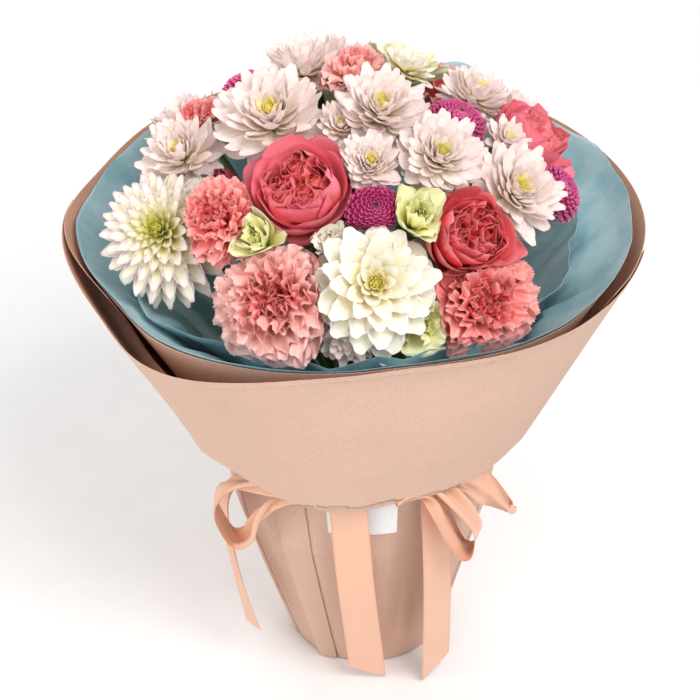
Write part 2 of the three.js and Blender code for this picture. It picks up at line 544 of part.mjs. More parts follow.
// Each ribbon: its stations, how many steps it is drawn in and how far its end is cut off square.
const RIBBONS = {
  ribbon_loop_left: [[
    [3.9, 111.6, 195, 0, 0, 0.35], [-10, 115, 200, 0, 0, 0.7], [-28, 121, 202, 0, -0.2, 0.7],
    [-42, 124, 192, 0, -0.7, 0.5], [-50, 124, 172, 0, -1, 0.1], [-52, 121, 153, 0, -1, 0],
    [-48, 116, 136, 0.1, -1, 0], [-41, 115, 146, 0.3, -0.9, 0.2], [-36, 116, 166, 0.2, -0.7, 0.5],
    [-28, 117, 186, 0.1, -0.4, 0.6], [-14, 113, 197, 0, -0.1, 0.7], [3.9, 109.8, 196, 0, 0, 0.35]], 24],
  ribbon_tail_left: [[
    [3.9, 107.4, 195, 0, 0, 0.3], [-12, 108.2, 197, 0, 0, 0.5], [-28, 107.6, 196, 0, 0, 0.5],
    [-45, 108, 184, 0.1, -0.5, 0.6], [-62, 106, 148, 0.3, -0.7, 0], [-60, 103, 95, 0.3, -0.8, 0],
    [-54, 96, 38, 0.5, -0.8, 0]], 12, -8],
  ribbon_tail_centre: [[
    [3.9, 105, 196, 0, 0, 0.25], [1, 105.4, 197, 0.3, 0, 0.3], [-2.5, 105.4, 197, 0.8, 0, 0.15],
    [-4, 105, 189, 1, -0.14, 0], [-4.1, 104, 176, 1, -0.14, 0], [-2.9, 96, 110, 1, -0.1, 0],
    [0.7, 71, 8, 1, 0, 0]], 12, 13],
  ribbon_tail_right: [[
    [12.1, 105, 194, 0, 0, 0.25], [17, 105, 195, 0.1, 0.1, 0.3], [23, 105.4, 196, 0.5, 0.3, 0.3],
    [27, 105.5, 190, 0.75, 0.5, 0.1], [27.8, 105, 174, 0.75, 0.6, 0], [31, 97, 100, 0.75, 0.66, 0],
    [35.6, 83.5, 10, 0.75, 0.66, 0]], 12, -14],
  ribbon_loop_right: [[
    [12.1, 111.4, 192, 0, 0, 0.3], [17, 111.4, 197, 0.12, 0.05, 0.35], [23.3, 111.2, 192, 0.44, 0.19, 0],
    [28, 113, 173, 0.42, 0.85, -0.33], [32.6, 113, 150, 0.37, 0.88, -0.31],
    [37, 112.5, 135, 0.16, 0.98, -0.12], [40.1, 115, 135, 0.13, 0.97, -0.21],
    [40.8, 117.5, 150, 0.22, 0.9, -0.36], [37.9, 118, 166, 0.34, 0.88, -0.32],
    [33.4, 115.5, 182, 0.5, 0.7, -0.3], [29, 111.6, 193.5, 0.54, 0.31, 0],
    [22, 109.8, 196.5, 0.2, 0.09, 0.25], [12.1, 109.4, 192, 0, 0, 0.3]], 36],
  ribbon_loop_far_right: [[
    [12.1, 108.4, 200, 0, 0, 0.25], [28, 109.6, 203, 0, 0, 0.45], [39.6, 110.3, 192, 0.16, -0.07, 0.95],
    [46.1, 112.5, 179, 0.24, 0.18, 0.93], [51.6, 115.5, 165, 0.3, -0.37, 0.88],
    [58.3, 118, 148, 0.05, -0.62, 0.78], [57, 111.8, 154, 0.16, -0.49, 0.85],
    [50, 109, 170, 0.24, -0.15, 0.94], [41.1, 108.2, 189, 0.16, -0.1, 0.8], [30, 108.3, 200, 0, 0, 0.35],
    [12.1, 106.8, 200, 0, 0, 0.25]], 32],
};

// ---------------------------------------------------------------- the bouquet
const group = new THREE.Group();
group.name = 'bouquet';
for (const head of heads) group.add(meshOf(head.name, bloomSolid(head), head.colour));
group.add(meshOf('stems', stemBunch(), 'stem'));
for (const [name, make] of Object.entries(SHEETS)) {
  group.add(meshOf(name, make(), name.startsWith('tissue') ? 'tissue' : 'paper'));
}
group.add(meshOf('twine', twineSolid(), 'twine'));
group.add(meshOf('card', cardSolid(), 'card'));
group.add(meshOf('ribbon_band', bandSolid(), 'ribbon', 0.4));
group.add(meshOf('ribbon_knot', knotSolid(), 'ribbon', 0.4));
for (const [name, [stations, steps, skew]] of Object.entries(RIBBONS)) {
  group.add(meshOf(name, strip(stations, steps, skew), 'ribbon', 0.4));
}

// The origin goes under the middle of the whole bouquet's box.
const box = new THREE.Box3().setFromObject(group);
group.position.set(-(box.min.x + box.max.x) / 2, -(box.min.y + box.max.y) / 2, -box.min.z);
export default group;
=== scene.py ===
"""Dresses a wrapped mixed bouquet: petals, stems, tissue, wrapping paper, ribbon and card.

Sizes are millimetres until a mesh is made. Bearings are degrees round the stem axis:
0 is the front (-Y) and 90 the right (+X).
"""

from types import SimpleNamespace

import bpy
import numpy as np
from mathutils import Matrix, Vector


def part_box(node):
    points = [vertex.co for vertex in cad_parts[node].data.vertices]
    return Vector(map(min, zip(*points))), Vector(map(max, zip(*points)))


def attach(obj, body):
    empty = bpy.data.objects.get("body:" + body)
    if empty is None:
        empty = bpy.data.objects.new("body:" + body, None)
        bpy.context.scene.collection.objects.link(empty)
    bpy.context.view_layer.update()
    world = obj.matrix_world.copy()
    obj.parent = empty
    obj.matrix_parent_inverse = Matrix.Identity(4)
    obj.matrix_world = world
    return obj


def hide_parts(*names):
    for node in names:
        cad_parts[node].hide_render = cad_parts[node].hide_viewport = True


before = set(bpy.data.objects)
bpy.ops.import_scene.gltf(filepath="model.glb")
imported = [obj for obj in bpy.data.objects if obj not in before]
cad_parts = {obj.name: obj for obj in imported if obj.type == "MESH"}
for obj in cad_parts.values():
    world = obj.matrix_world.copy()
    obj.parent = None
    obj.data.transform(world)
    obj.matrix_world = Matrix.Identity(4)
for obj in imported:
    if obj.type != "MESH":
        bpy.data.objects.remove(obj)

bl_info = {
    "name": "Wrapped Bouquet",
    "version": (1, 0, 0),
    "blender": (4, 5, 0),
    "location": "View3D > Sidebar > Bouquet",
    "description": "Builds the petals, paper, tissue and ribbon of a wrapped bouquet",
    "category": "Add Mesh",
}

# ------------------------------------------------------------------ sizes shared with the solids
FOOT_CENTRE = np.array([9.0, -9.0])
RIM_CENTRE = np.array([0.0, -10.0])
RIM_HEIGHT = 335.0
WAIST_HEIGHT = 196.0
SKIRT = [(0, 52), (60, 69.5), (125, 87), (WAIST_HEIGHT, 98.5)]
PAPER = 0.9
GAP = 0.35
BINDING_HEIGHT = 150.0
BINDING_RADIUS = 16.0
STEM_FOOT_RADIUS = 50.0
STEM_RADIUS = 2.4
RIBBON_WIDTH = 25.0
CARD_BEARINGS = (-13.5, 14.5)
CARD_HEIGHTS = (151, 182)
COLLAR = (-99, 81)
BACK = (63, 297)
FLAP = (-36, -22.5)
FLAP_TOP = 182.0
MOUTH = [
    (-180, 195), (-135, 187), (-112, 180), (-92, 186), (-60, 182), (-42, 186), (-20, 176),
    (0, 166), (15, 163), (45, 175), (60, 180), (90, 187), (135, 189),
]
COLLAR_SLOPE = [
    (-99, 0.46), (-75, 0.48), (-55, 0.49), (-40, 0.48), (-20, 0.4), (0, 0.345), (20, 0.36),
    (45, 0.43), (60, 0.46), (81, 0.5),
]
COLLAR_FOOT = [
    (-99, 206), (-72, 190), (-63, 192), (-54, 207), (-45, 224), (-36, 221), (-27, 207), (-18, 195),
    (-9, 189), (0, 190), (27, 194), (45, 199), (54, 206), (72, 204), (81, 204),
]
TISSUE_FOOT = (22.6, BINDING_HEIGHT + 1)
OUTER_TISSUE = (0, 5)  # inset from the mouth, and shallow folds round it
INNER_TISSUE = (8, 7)

# name, kind, bearing, reach from the axis, height of its face, diameter, lean from upright, colour
BLOOMS = [
    ("dahlia_left", "dahlia", -64, 143, 377, 76, 46, "lilac"),
    ("dahlia_front", "dahlia_broad", 6, 130, 379, 80, 46, "cream"),
    ("dahlia_back", "dahlia", 178, 138, 374, 70, 48, "lilac"),
    ("mum_far_left", "mum", -83, 115, 404, 52, 32, "blush"),
    ("mum_top_left", "mum", -80, 56, 433, 70, 16, "blush"),
    ("mum_top_back", "mum", -148, 66, 431, 50, 20, "blush"),
    ("mum_top", "mum", 48, 24, 440, 58, 10, "blush"),
    ("mum_middle", "mum", 10, 62, 424, 42, 24, "blush"),
    ("mum_right", "mum", 46, 77, 427, 56, 26, "blush"),
    ("mum_far_right", "mum", 63, 119, 402, 58, 36, "blush"),
    ("mum_back_right", "mum", 112, 88, 421, 46, 28, "blush"),
    ("mum_back_cream", "mum", 140, 55, 435, 36, 22, "cream"),
    ("mum_tucked_left", "mum", -20, 24, 428, 36, 12, "blush"),
    ("mum_tucked_right", "mum", 87, 100, 407, 32, 30, "blush"),
    ("mum_low_front", "mum", -2, 128, 340, 44, 80, "blush"),
    ("mum_back_a", "mum", -165, 104, 411, 54, 34, "blush"),
    ("mum_back_b", "mum", 126, 138, 377, 56, 46, "blush"),
    ("mum_back_c", "mum", -124, 143, 372, 54, 46, "blush"),
    ("carnation_left", "carnation", -47, 121, 399, 50, 38, "coral"),
    ("carnation_front", "carnation", -22, 138, 365, 72, 52, "pink"),
    ("carnation_right", "carnation", 37, 143, 355, 66, 56, "coral"),
    ("carnation_top", "carnation", 178, 38, 438, 48, 12, "pink"),
    ("carnation_far_left", "carnation", -108, 112, 400, 34, 36, "coral"),
    ("carnation_back", "carnation", 152, 137, 376, 58, 46, "coral"),
    ("rose_left", "rose", -26, 84, 419, 68, 30, "rose"),
    ("rose_right", "rose", 40, 122, 393, 62, 46, "red_rose"),
    ("rose_far_right", "rose", 99, 124, 401, 58, 40, "rose"),
    ("rose_back", "rose", -150, 140, 375, 60, 46, "rose"),
    ("rose_bud", "bud", -68, 92, 398, 26, 34, "burgundy"),
    ("pompon_middle", "pompon", 8, 93, 409, 38, 32, "magenta"),
    ("pompon_back_right", "pompon", 84, 68, 425, 40, 20, "magenta"),
    ("pompon_far_right", "pompon", 79, 138, 382, 38, 50, "magenta"),
    ("pompon_far_left", "pompon", -130, 98, 410, 32, 34, "magenta"),
    ("lisianthus_left", "lisianthus", -33, 116, 392, 38, 42, "green"),
    ("lisianthus_middle", "lisianthus", 23, 102, 406, 38, 36, "green"),
    ("lisianthus_low", "lisianthus", 19, 134, 345, 38, 66, "green"),
    ("lisianthus_cream", "lisianthus", -9, 99, 391, 26, 36, "cream"),
    ("lisianthus_back", "lisianthus", 158, 92, 414, 44, 30, "green"),
]
DEPTH = {
    "dahlia": 0.42, "dahlia_broad": 0.42, "mum": 0.46, "carnation": 0.58, "rose": 0.66, "bud": 1.1,
    "pompon": 0.62, "lisianthus": 0.7,
}
GOLDEN_TURN = np.radians(137.508)


# ------------------------------------------------------------------ helpers
def rgb(red, green, blue):
    """A display colour from 0 to 255 as linear light."""
    share = np.array([red, green, blue]) / 255.0
    linear = np.where(share <= 0.04045, share / 12.92, ((share + 0.055) / 1.055) ** 2.4)
    return tuple(float(x) for x in linear)


def smooth(x, low, high):
    """0 below low, 1 above high, and a smooth S between them."""
    share = np.clip((x - low) / (high - low), 0, 1)
    return share * share * (3 - 2 * share)


def sine(degrees):
    return np.sin(np.radians(degrees))


def wrapped(bearing):
    """A bearing brought between -180 and 180."""
    return (np.asarray(bearing, float) + 180) % 360 - 180


def bump(bearing, centre, width):
    """A bell of height 1 round a bearing."""
    return np.exp(-((wrapped(bearing - centre) / width) ** 2))


def look_up(rows, at):
    """Straight lines between (position, value) rows."""
    positions, values = zip(*rows)
    return np.interp(at, positions, values)


def zigzag(x):
    """A triangle wave from -1 to 1 with a period of 1."""
    return 4 * np.abs(x - np.floor(x + 0.5)) - 1


def axis_at(z):
    """The stem axis at a height: straight from the foot's centre to the mouth's centre."""
    share = np.minimum(np.asarray(z, float) / RIM_HEIGHT, 1)[..., None]
    return FOOT_CENTRE + (RIM_CENTRE - FOOT_CENTRE) * share


def around(bearing, radius, z):
    """The point at a bearing and distance from the stem axis, at a height."""
    bearing, radius, z = np.broadcast_arrays(np.radians(bearing), radius, np.asarray(z, float))
    centre = axis_at(z)
    return np.stack([centre[..., 0] + radius * np.sin(bearing),
                     centre[..., 1] - radius * np.cos(bearing), z], axis=-1)


def catmull_rom(points, count):
    """count points along the smooth curve through points, by uniform Catmull-Rom spans."""
    points = np.asarray(points, float)
    padded = np.concatenate([2 * points[:1] - points[1:2], points, 2 * points[-1:] - points[-2:-1]])
    place = np.linspace(0, len(points) - 1, count)
    i = np.minimum(place.astype(int), len(points) - 2)
    t = (place - i)[:, None]
    p, q, r, s = (padded[i + k] for k in range(4))
    return q + 0.5 * t * (r - p + t * (2 * p - 5 * q + 4 * r - s + t * (3 * (q - r) + s - p)))


def unit(vectors):
    return vectors / np.maximum(np.linalg.norm(vectors, axis=-1, keepdims=True), 1e-9)


def centre_shift():
    """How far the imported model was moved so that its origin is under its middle."""
    low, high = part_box("twine")
    middle = (np.array(low) + np.array(high)) * 500
    return np.append(middle[:2] - axis_at(BINDING_HEIGHT), 0)


SHIFT = centre_shift()


# ------------------------------------------------------------------ meshes
def cells(index):
    """Quads over grids of vertex numbers: index is (..., rows, columns)."""
    return np.stack([index[..., :-1, :-1], index[..., 1:, :-1], index[..., 1:, 1:],
                     index[..., :-1, 1:]], axis=-1).reshape(-1, 4)


def part(points, faces, petal=None, place=None, look=0):
    """Points, a list of (count, corners) face arrays, two vectors a point for its look."""
    points = points.reshape(-1, 3)
    blank = np.zeros_like(points)
    return SimpleNamespace(points=points, faces=faces, look=look,
                           petal=blank if petal is None else petal.reshape(-1, 3),
                           place=blank if place is None else place.reshape(-1, 3))


def make_piece(name, parts, looks, nodes, sharp=50):
    """One mesh object from parts, in metres, that stands for CAD nodes: it hides them and hangs from
    the root body's empty.
    """
    mesh = bpy.data.meshes.new(name)
    points = np.concatenate([p.points for p in parts])
    mesh.vertices.add(len(points))
    mesh.vertices.foreach_set("co", ((points + SHIFT) * 0.001).astype(np.float32).ravel())
    starts, corners, slots, start, first = [], [], [], 0, 0
    for p in parts:
        for faces in p.faces:
            corners.append((faces + first).ravel())
            starts.append(start + np.arange(len(faces)) * faces.shape[1])
            slots.append(np.full(len(faces), p.look))
            start += faces.size
        first += len(p.points)
    mesh.loops.add(start)
    mesh.loops.foreach_set("vertex_index", np.concatenate(corners).astype(np.int32))
    starts = np.concatenate(starts).astype(np.int32)
    mesh.polygons.add(len(starts))
    mesh.polygons.foreach_set("loop_start", starts)
    mesh.polygons.foreach_set("material_index", np.concatenate(slots).astype(np.int32))
    mesh.polygons.foreach_set("use_smooth", np.ones(len(starts), bool))
    for key in ("petal", "place"):
        data = np.concatenate([getattr(p, key) for p in parts]).astype(np.float32)
        mesh.attributes.new(key, "FLOAT_VECTOR", "POINT").data.foreach_set("vector", data.ravel())
    mesh.update(calc_edges=True)
    mesh.set_sharp_from_angle(angle=np.radians(sharp))
    for look in looks:
        mesh.materials.append(look)
    piece = bpy.data.objects.new(name, mesh)
    bpy.context.scene.collection.objects.link(piece)
    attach(piece, "root")
    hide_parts(*nodes)
    return piece


def shell(inside, outside, petal):
    """A closed thin solid between two grids of points that share their borders' order."""
    rows, columns = inside.shape[:2]
    index = np.arange(rows * columns).reshape(rows, columns)
    far = index + rows * columns
    rim = np.concatenate([index[0, :], index[1:, -1], index[-1, -2::-1], index[-2:0:-1, 0]])
    following = np.roll(rim, -1)
    far_rim, far_following = rim + rows * columns, following + rows * columns
    walls = np.stack([rim, far_rim, far_following, following], axis=-1)
    faces = [cells(index)[:, ::-1], cells(far), walls]
    data = np.stack([petal, petal])
    return part(np.stack([inside, outside]), faces, data)


def blades(surface, normal, half_thickness, petal, place, look=0):
    """Closed lens-shaped blades: each grid's two faces bulge apart and meet at its border."""
    n, rows, columns, _ = surface.shape
    bulge = np.zeros((n, rows, columns, 1))
    along = np.sin(np.pi * np.linspace(0, 1, rows)[1:-1]) ** 0.4
    across = np.sin(np.pi * np.linspace(0, 1, columns)[1:-1]) ** 0.4
    bulge[:, 1:-1, 1:-1, 0] = half_thickness * along[:, None] * across
    front = surface + normal * bulge
    back = (surface - normal * bulge)[:, 1:-1, 1:-1]
    index = np.arange(n * rows * columns).reshape(n, rows, columns)
    low = index.copy()
    low[:, 1:-1, 1:-1] = index.size + np.arange(back.size // 3).reshape(back.shape[:3])
    inner = (slice(None), slice(1, -1), slice(1, -1))

    def both(data):
        return np.concatenate([data.reshape(-1, 3), data[inner].reshape(-1, 3)])

    return part(np.concatenate([front.reshape(-1, 3), back.reshape(-1, 3)]),
                [cells(index), cells(low)[:, ::-1]], both(petal), both(place), look)


def revolved(profile, sides, look=1):
    """A solid of revolution: (radius, height) rows whose two ends are closed on the axis."""
    profile = np.asarray(profile, float)
    turn = np.linspace(0, 2 * np.pi, sides, endpoint=False)
    rings = np.stack([profile[:, :1] * np.cos(turn), profile[:, :1] * np.sin(turn),
                      np.repeat(profile[:, 1:], sides, axis=1)], axis=-1)
    index = np.arange(len(profile) * sides).reshape(len(profile), sides)
    round_about = np.concatenate([index, index[:, :1]], axis=1)
    bottom, top = index.size, index.size + 1
    points = np.concatenate([rings.reshape(-1, 3), [[0, 0, profile[0, 1]], [0, 0, profile[-1, 1]]]])
    low = np.stack([np.full(sides, bottom), round_about[0, 1:], round_about[0, :-1]], axis=-1)
    high = np.stack([np.full(sides, top), round_about[-1, :-1], round_about[-1, 1:]], axis=-1)
    return part(points, [cells(round_about)[:, ::-1], low, high], look=look)


def tubes(paths, radii, sides):
    """Closed round tubes along paths (n, stations, 3), with a radius at each station."""
    n, stations, _ = paths.shape
    tangent = unit(np.gradient(paths, axis=1))
    side = unit(np.array([1.0, 0, 0]) - tangent * tangent[..., :1])
    other = np.cross(tangent, side)
    turn = np.linspace(0, 2 * np.pi, sides, endpoint=False)
    ring = (side[:, :, None] * np.cos(turn)[:, None] + other[:, :, None] * np.sin(turn)[:, None])
    points = paths[:, :, None] + ring * np.broadcast_to(radii, (n, stations))[:, :, None, None]
    index = np.arange(n * stations * sides).reshape(n, stations, sides)
    closed = np.concatenate([index, index[..., :1]], axis=-1)
    faces = [cells(closed)[:, ::-1], index[:, 0, ::-1], index[:, -1]]
    petal = np.zeros((n, stations, sides, 3))
    petal[..., 0] = np.linspace(0, 1, stations)[:, None]
    petal[..., 1] = turn / np.pi
    petal[..., 2] = (np.arange(n) * 0.618 % 1)[:, None, None]
    return part(points, faces, petal)


# ------------------------------------------------------------------ the flower heads
def make_heads():
    """Each head's place: its axis, the foot of its depth and its middle."""
    heads = []
    for seed, (name, kind, bearing, reach, height, diameter, lean, colour) in enumerate(BLOOMS):
        turn, tilt = np.radians(bearing), np.radians(lean)
        axis = np.array([np.sin(turn) * np.sin(tilt), -np.cos(turn) * np.sin(tilt), np.cos(tilt)])
        face = around(bearing, reach, height)
        depth = diameter * DEPTH[kind]
        heads.append(SimpleNamespace(
            name=name, kind=kind, colour=colour, axis=axis, depth=depth, radius=diameter / 2,
            base=face - axis * depth, middle=face - axis * depth * 0.45, bearing=bearing,
            reach=reach, seed=seed + 1))
    return heads


HEADS = make_heads()


def mouth_radius(bearing):
    """The paper's mouth: a smooth closed curve through MOUTH's points."""
    bearings = np.array([b for b, _ in MOUTH], float)
    radii = np.array([r for _, r in MOUTH], float)
    n = len(MOUTH)
    b = wrapped(bearing)
    i = np.searchsorted(bearings, b, side="right") - 1
    start, end = bearings[i], np.append(bearings, 180)[i + 1]
    t = (b - start) / (end - start)
    p, q, r, s = (radii[(i + k) % n] for k in (-1, 0, 1, 2))
    return q + 0.5 * t * (r - p + t * (2 * p - 5 * q + 4 * r - s + t * (3 * (q - r) + s - p)))


def rim_height(b):
    return RIM_HEIGHT - 12 * bump(b, -40, 22) + 4 * bump(b, 10, 35)


def inner_mouth(b):
    return mouth_radius(b) - 4 - 7 * bump(b, -50, 40) - 8 * bump(b, 90, 35)


def paper_radius(mouth, z):
    """The skirt's radius up to the waist, then a straight cone out to the mouth."""
    skirt = look_up(SKIRT, z)
    share = (z - WAIST_HEIGHT) / (RIM_HEIGHT - WAIST_HEIGHT)
    return skirt + (mouth - skirt) * np.maximum(share, 0)


def inner_paper(b, z):
    return paper_radius(inner_mouth(b), z)


def back_paper(b, z):
    return PAPER + 0.4 + paper_radius(np.maximum(mouth_radius(b) - PAPER - 0.4, inner_mouth(b)), z)


def collar_radius(b, z):
    flared = mouth_radius(b) + 1.7 - look_up(COLLAR_SLOPE, wrapped(b)) * (rim_height(b) - z)
    return np.maximum(flared, back_paper(b, z) + PAPER + 0.4)


def tissue_radius(b, z, inset, folds):
    """A cone from the binding to just inside the mouth, with shallow folds round it."""
    share = np.clip((z - TISSUE_FOOT[1]) / (RIM_HEIGHT - TISSUE_FOOT[1]), 0, 1.08)
    top = inner_mouth(b) - inset - 3.6 - 2.4 * sine(b * folds + 40 * inset)
    foot = TISSUE_FOOT[0] + (0 if inset > 6 else 1.4)
    return foot + (top - foot) * share


def held(s, limit, ease):
    """s kept smoothly below limit, starting ease short of it."""
    start = limit - ease
    return np.where(s < start, s, limit - ease * np.exp(-np.maximum(s - start, 0) / ease))


TOUCH = 2.0  # how far petals of two heads may pass each other
NEIGHBOURS = 20  # heads with more room than this between them are left alone
LEAST_ROOM = 4  # no neighbour pushes petals nearer to the plane through their head's middle
EASE = 6  # petals start to bend this far short of a neighbour's room
TISSUE_CLEAR, TISSUE_EASE = 2, 5  # the gap kept from the tissue, and the ease before it


def bent_clear(points, head):
    """Petals bend where they would push into a neighbour's room or through the tissue."""
    for other in HEADS:
        towards = other.middle - head.middle
        distance = np.linalg.norm(towards)
        if other is head or distance > head.radius + other.radius + NEIGHBOURS:
            continue
        towards = towards / distance
        limit = (distance ** 2 + head.radius ** 2 - other.radius ** 2) / (2 * distance) + TOUCH
        along = (points - head.middle) @ towards
        points = points + towards * (held(along, max(limit, LEAST_ROOM), EASE) - along)[:, None]
    centre = axis_at(points[:, 2])
    offset = points[:, :2] - centre
    reach = np.maximum(np.linalg.norm(offset, axis=1), 1e-6)
    bearing = np.degrees(np.arctan2(offset[:, 0], -offset[:, 1]))
    tissue = tissue_radius(bearing, points[:, 2], *INNER_TISSUE)
    allowed = held(reach, tissue - TISSUE_CLEAR, TISSUE_EASE)
    points[:, :2] = centre + offset * (allowed / reach)[:, None]
    return points


def turned_to(axis):
    """The rotation that takes +Z to axis by the shortest way."""
    x, y, z = axis
    k = 1 / (1 + z)
    return np.array([[1 - x * x * k, -x * y * k, x], [-x * y * k, 1 - y * y * k, y], [-x, -y, z]])


def half_width(s, root, peak, tip):
    """A petal's outline: a sine from the root to its widest place, then an ellipse to the tip."""
    rising = root + (1 - root) * np.sin(np.pi / 2 * np.clip(s / peak, 0, 1)) ** 1.3
    falling = tip + (1 - tip) * np.sqrt(1 - np.clip((s - peak) / (1 - peak), 0, 1) ** 2)
    return np.where(s < peak, rising, falling)


def whorl(radius, depth, draw, count=12, grid=(7, 5), reach=(0.1,), height=(0.2,), length=(0.8,),
          width=(0.3,), rise=((0,), (0,)), cup=(25,), outline=(0.3, 0.6, 0.35), rounded=0.3,
          notch=0.0, teeth=(0, 0), ruffle=(0, 0, 0), roll=0.0, jitter=1.0, twist=8.0, opening=0.4,
          thickness=0.28, centre=(0, 0), turn_step=GOLDEN_TURN, turn_start=0.0,
          turn_jitter=3.0, rows=(0.0, 1.0), look=0):
    """Petals in a spiral from the outermost to the innermost.

    A petal's midline rises at an angle that changes evenly from root to tip, so it is an arc of
    a circle. Across the midline the petal is an arc too, `cup` degrees to each side, which opens
    towards the tip. Its edge is rounded off, notched or toothed by shortening the midline, and
    ruffled by waves that grow towards the tip. reach, height, length and width are shares of the
    head's radius (height of its depth), given from the outermost to the innermost petal.
    """
    f = (np.arange(count) + 0.5) / count

    def of(values):
        values = np.atleast_1d(values)
        return np.interp(f, np.linspace(0, 1, len(values)), values)[:, None, None]

    def vary(scale):
        return draw.uniform(-1, 1, (count, 1, 1)) * scale * jitter

    s = np.linspace(0, 1, grid[0])[None, :, None]
    t = np.linspace(-1, 1, grid[1])[None, None, :]
    size = of(length) * radius * (1 + vary(0.07))
    start = np.radians(of(rise[0]) + vary(5))
    bend = np.radians(of(rise[1]) - of(rise[0]) + vary(8))
    bend = np.where(np.abs(bend) < 1e-3, 1e-3, bend)
    along = s * (1 - rounded * np.abs(t) ** 3.5 * s ** 2)
    along = along - notch * np.exp(-((t / 0.3) ** 2)) * s ** 8
    phase = draw.uniform(0, 1, (count, 1, 1))
    along = along + teeth[1] * zigzag(t * teeth[0] / 2) * s ** 6
    along = along * (1 + teeth[1] * 1.6 * np.sin(2 * np.pi * (1.3 * t + phase)) * s ** 3)
    angle = start + bend * along
    out = size * (np.sin(angle) - np.sin(start)) / bend
    up = size * (np.cos(start) - np.cos(angle)) / bend
    half = of(width) * radius / 2 * half_width(s, *outline) * (1 + vary(0.06))
    arc = np.radians(np.maximum(of(cup) + vary(6), 4)) * (1 - opening * s)
    waves, frill, sway = ruffle
    wave = np.sin(np.pi * waves * t + 2 * np.pi * phase) * frill * s ** 2
    wave = wave + np.sin(2 * np.pi * (0.5 * t + phase * 3) + 4 * s) * sway * s
    sideways = half * np.sin(t * arc) / arc
    lift = half * (1 - np.cos(t * arc)) / arc + wave * radius - roll * radius * smooth(s, 0.72, 1) ** 2
    lean = np.radians(vary(twist)) * s
    sideways, lift = (sideways * np.cos(lean) - lift * np.sin(lean),
                      sideways * np.sin(lean) + lift * np.cos(lean))
    across_normal = -np.sin(t * arc + lean)
    up_normal = np.cos(t * arc + lean)
    turn = turn_start + turn_step * np.arange(count) + np.radians(
        draw.uniform(-1, 1, count) * turn_jitter)
    turn = turn[:, None, None]

    def placed(r, y, z, offset=0.0):
        return np.stack(np.broadcast_arrays(
            r * np.cos(turn) - y * np.sin(turn) + offset * np.cos(centre[1]),
            r * np.sin(turn) + y * np.cos(turn) + offset * np.sin(centre[1]), z), axis=-1)

    surface = placed(of(reach) * radius + out - lift * np.sin(angle), sideways,
                     of(height) * depth + up + lift * np.cos(angle), centre[0] * radius)
    normal = placed(-up_normal * np.sin(angle), across_normal, up_normal * np.cos(angle))
    shape = surface.shape[:3]
    tint = draw.uniform(0, 1, (count, 1, 1))
    petal = np.stack(np.broadcast_arrays(s, t, tint + np.zeros(shape)), axis=-1)
    row = rows[0] + (rows[1] - rows[0]) * f[:, None, None]
    place = np.stack(np.broadcast_arrays(row, 0.0, np.zeros(shape)), axis=-1)
    return blades(surface, normal, thickness, petal, place, look)


FRILLY = {"teeth": (16, 0.024), "ruffle": (4.4, 0.07, 0.07)}
HEART = dict(count=24, grid=(5, 5), reach=(0.08, 0.015), height=(0.78, 0.88),
             length=(0.14, 0.11), width=(0.075, 0.065), rise=((62, 88), (112, 104)), cup=(90,),
             rows=(0.97, 1.0))
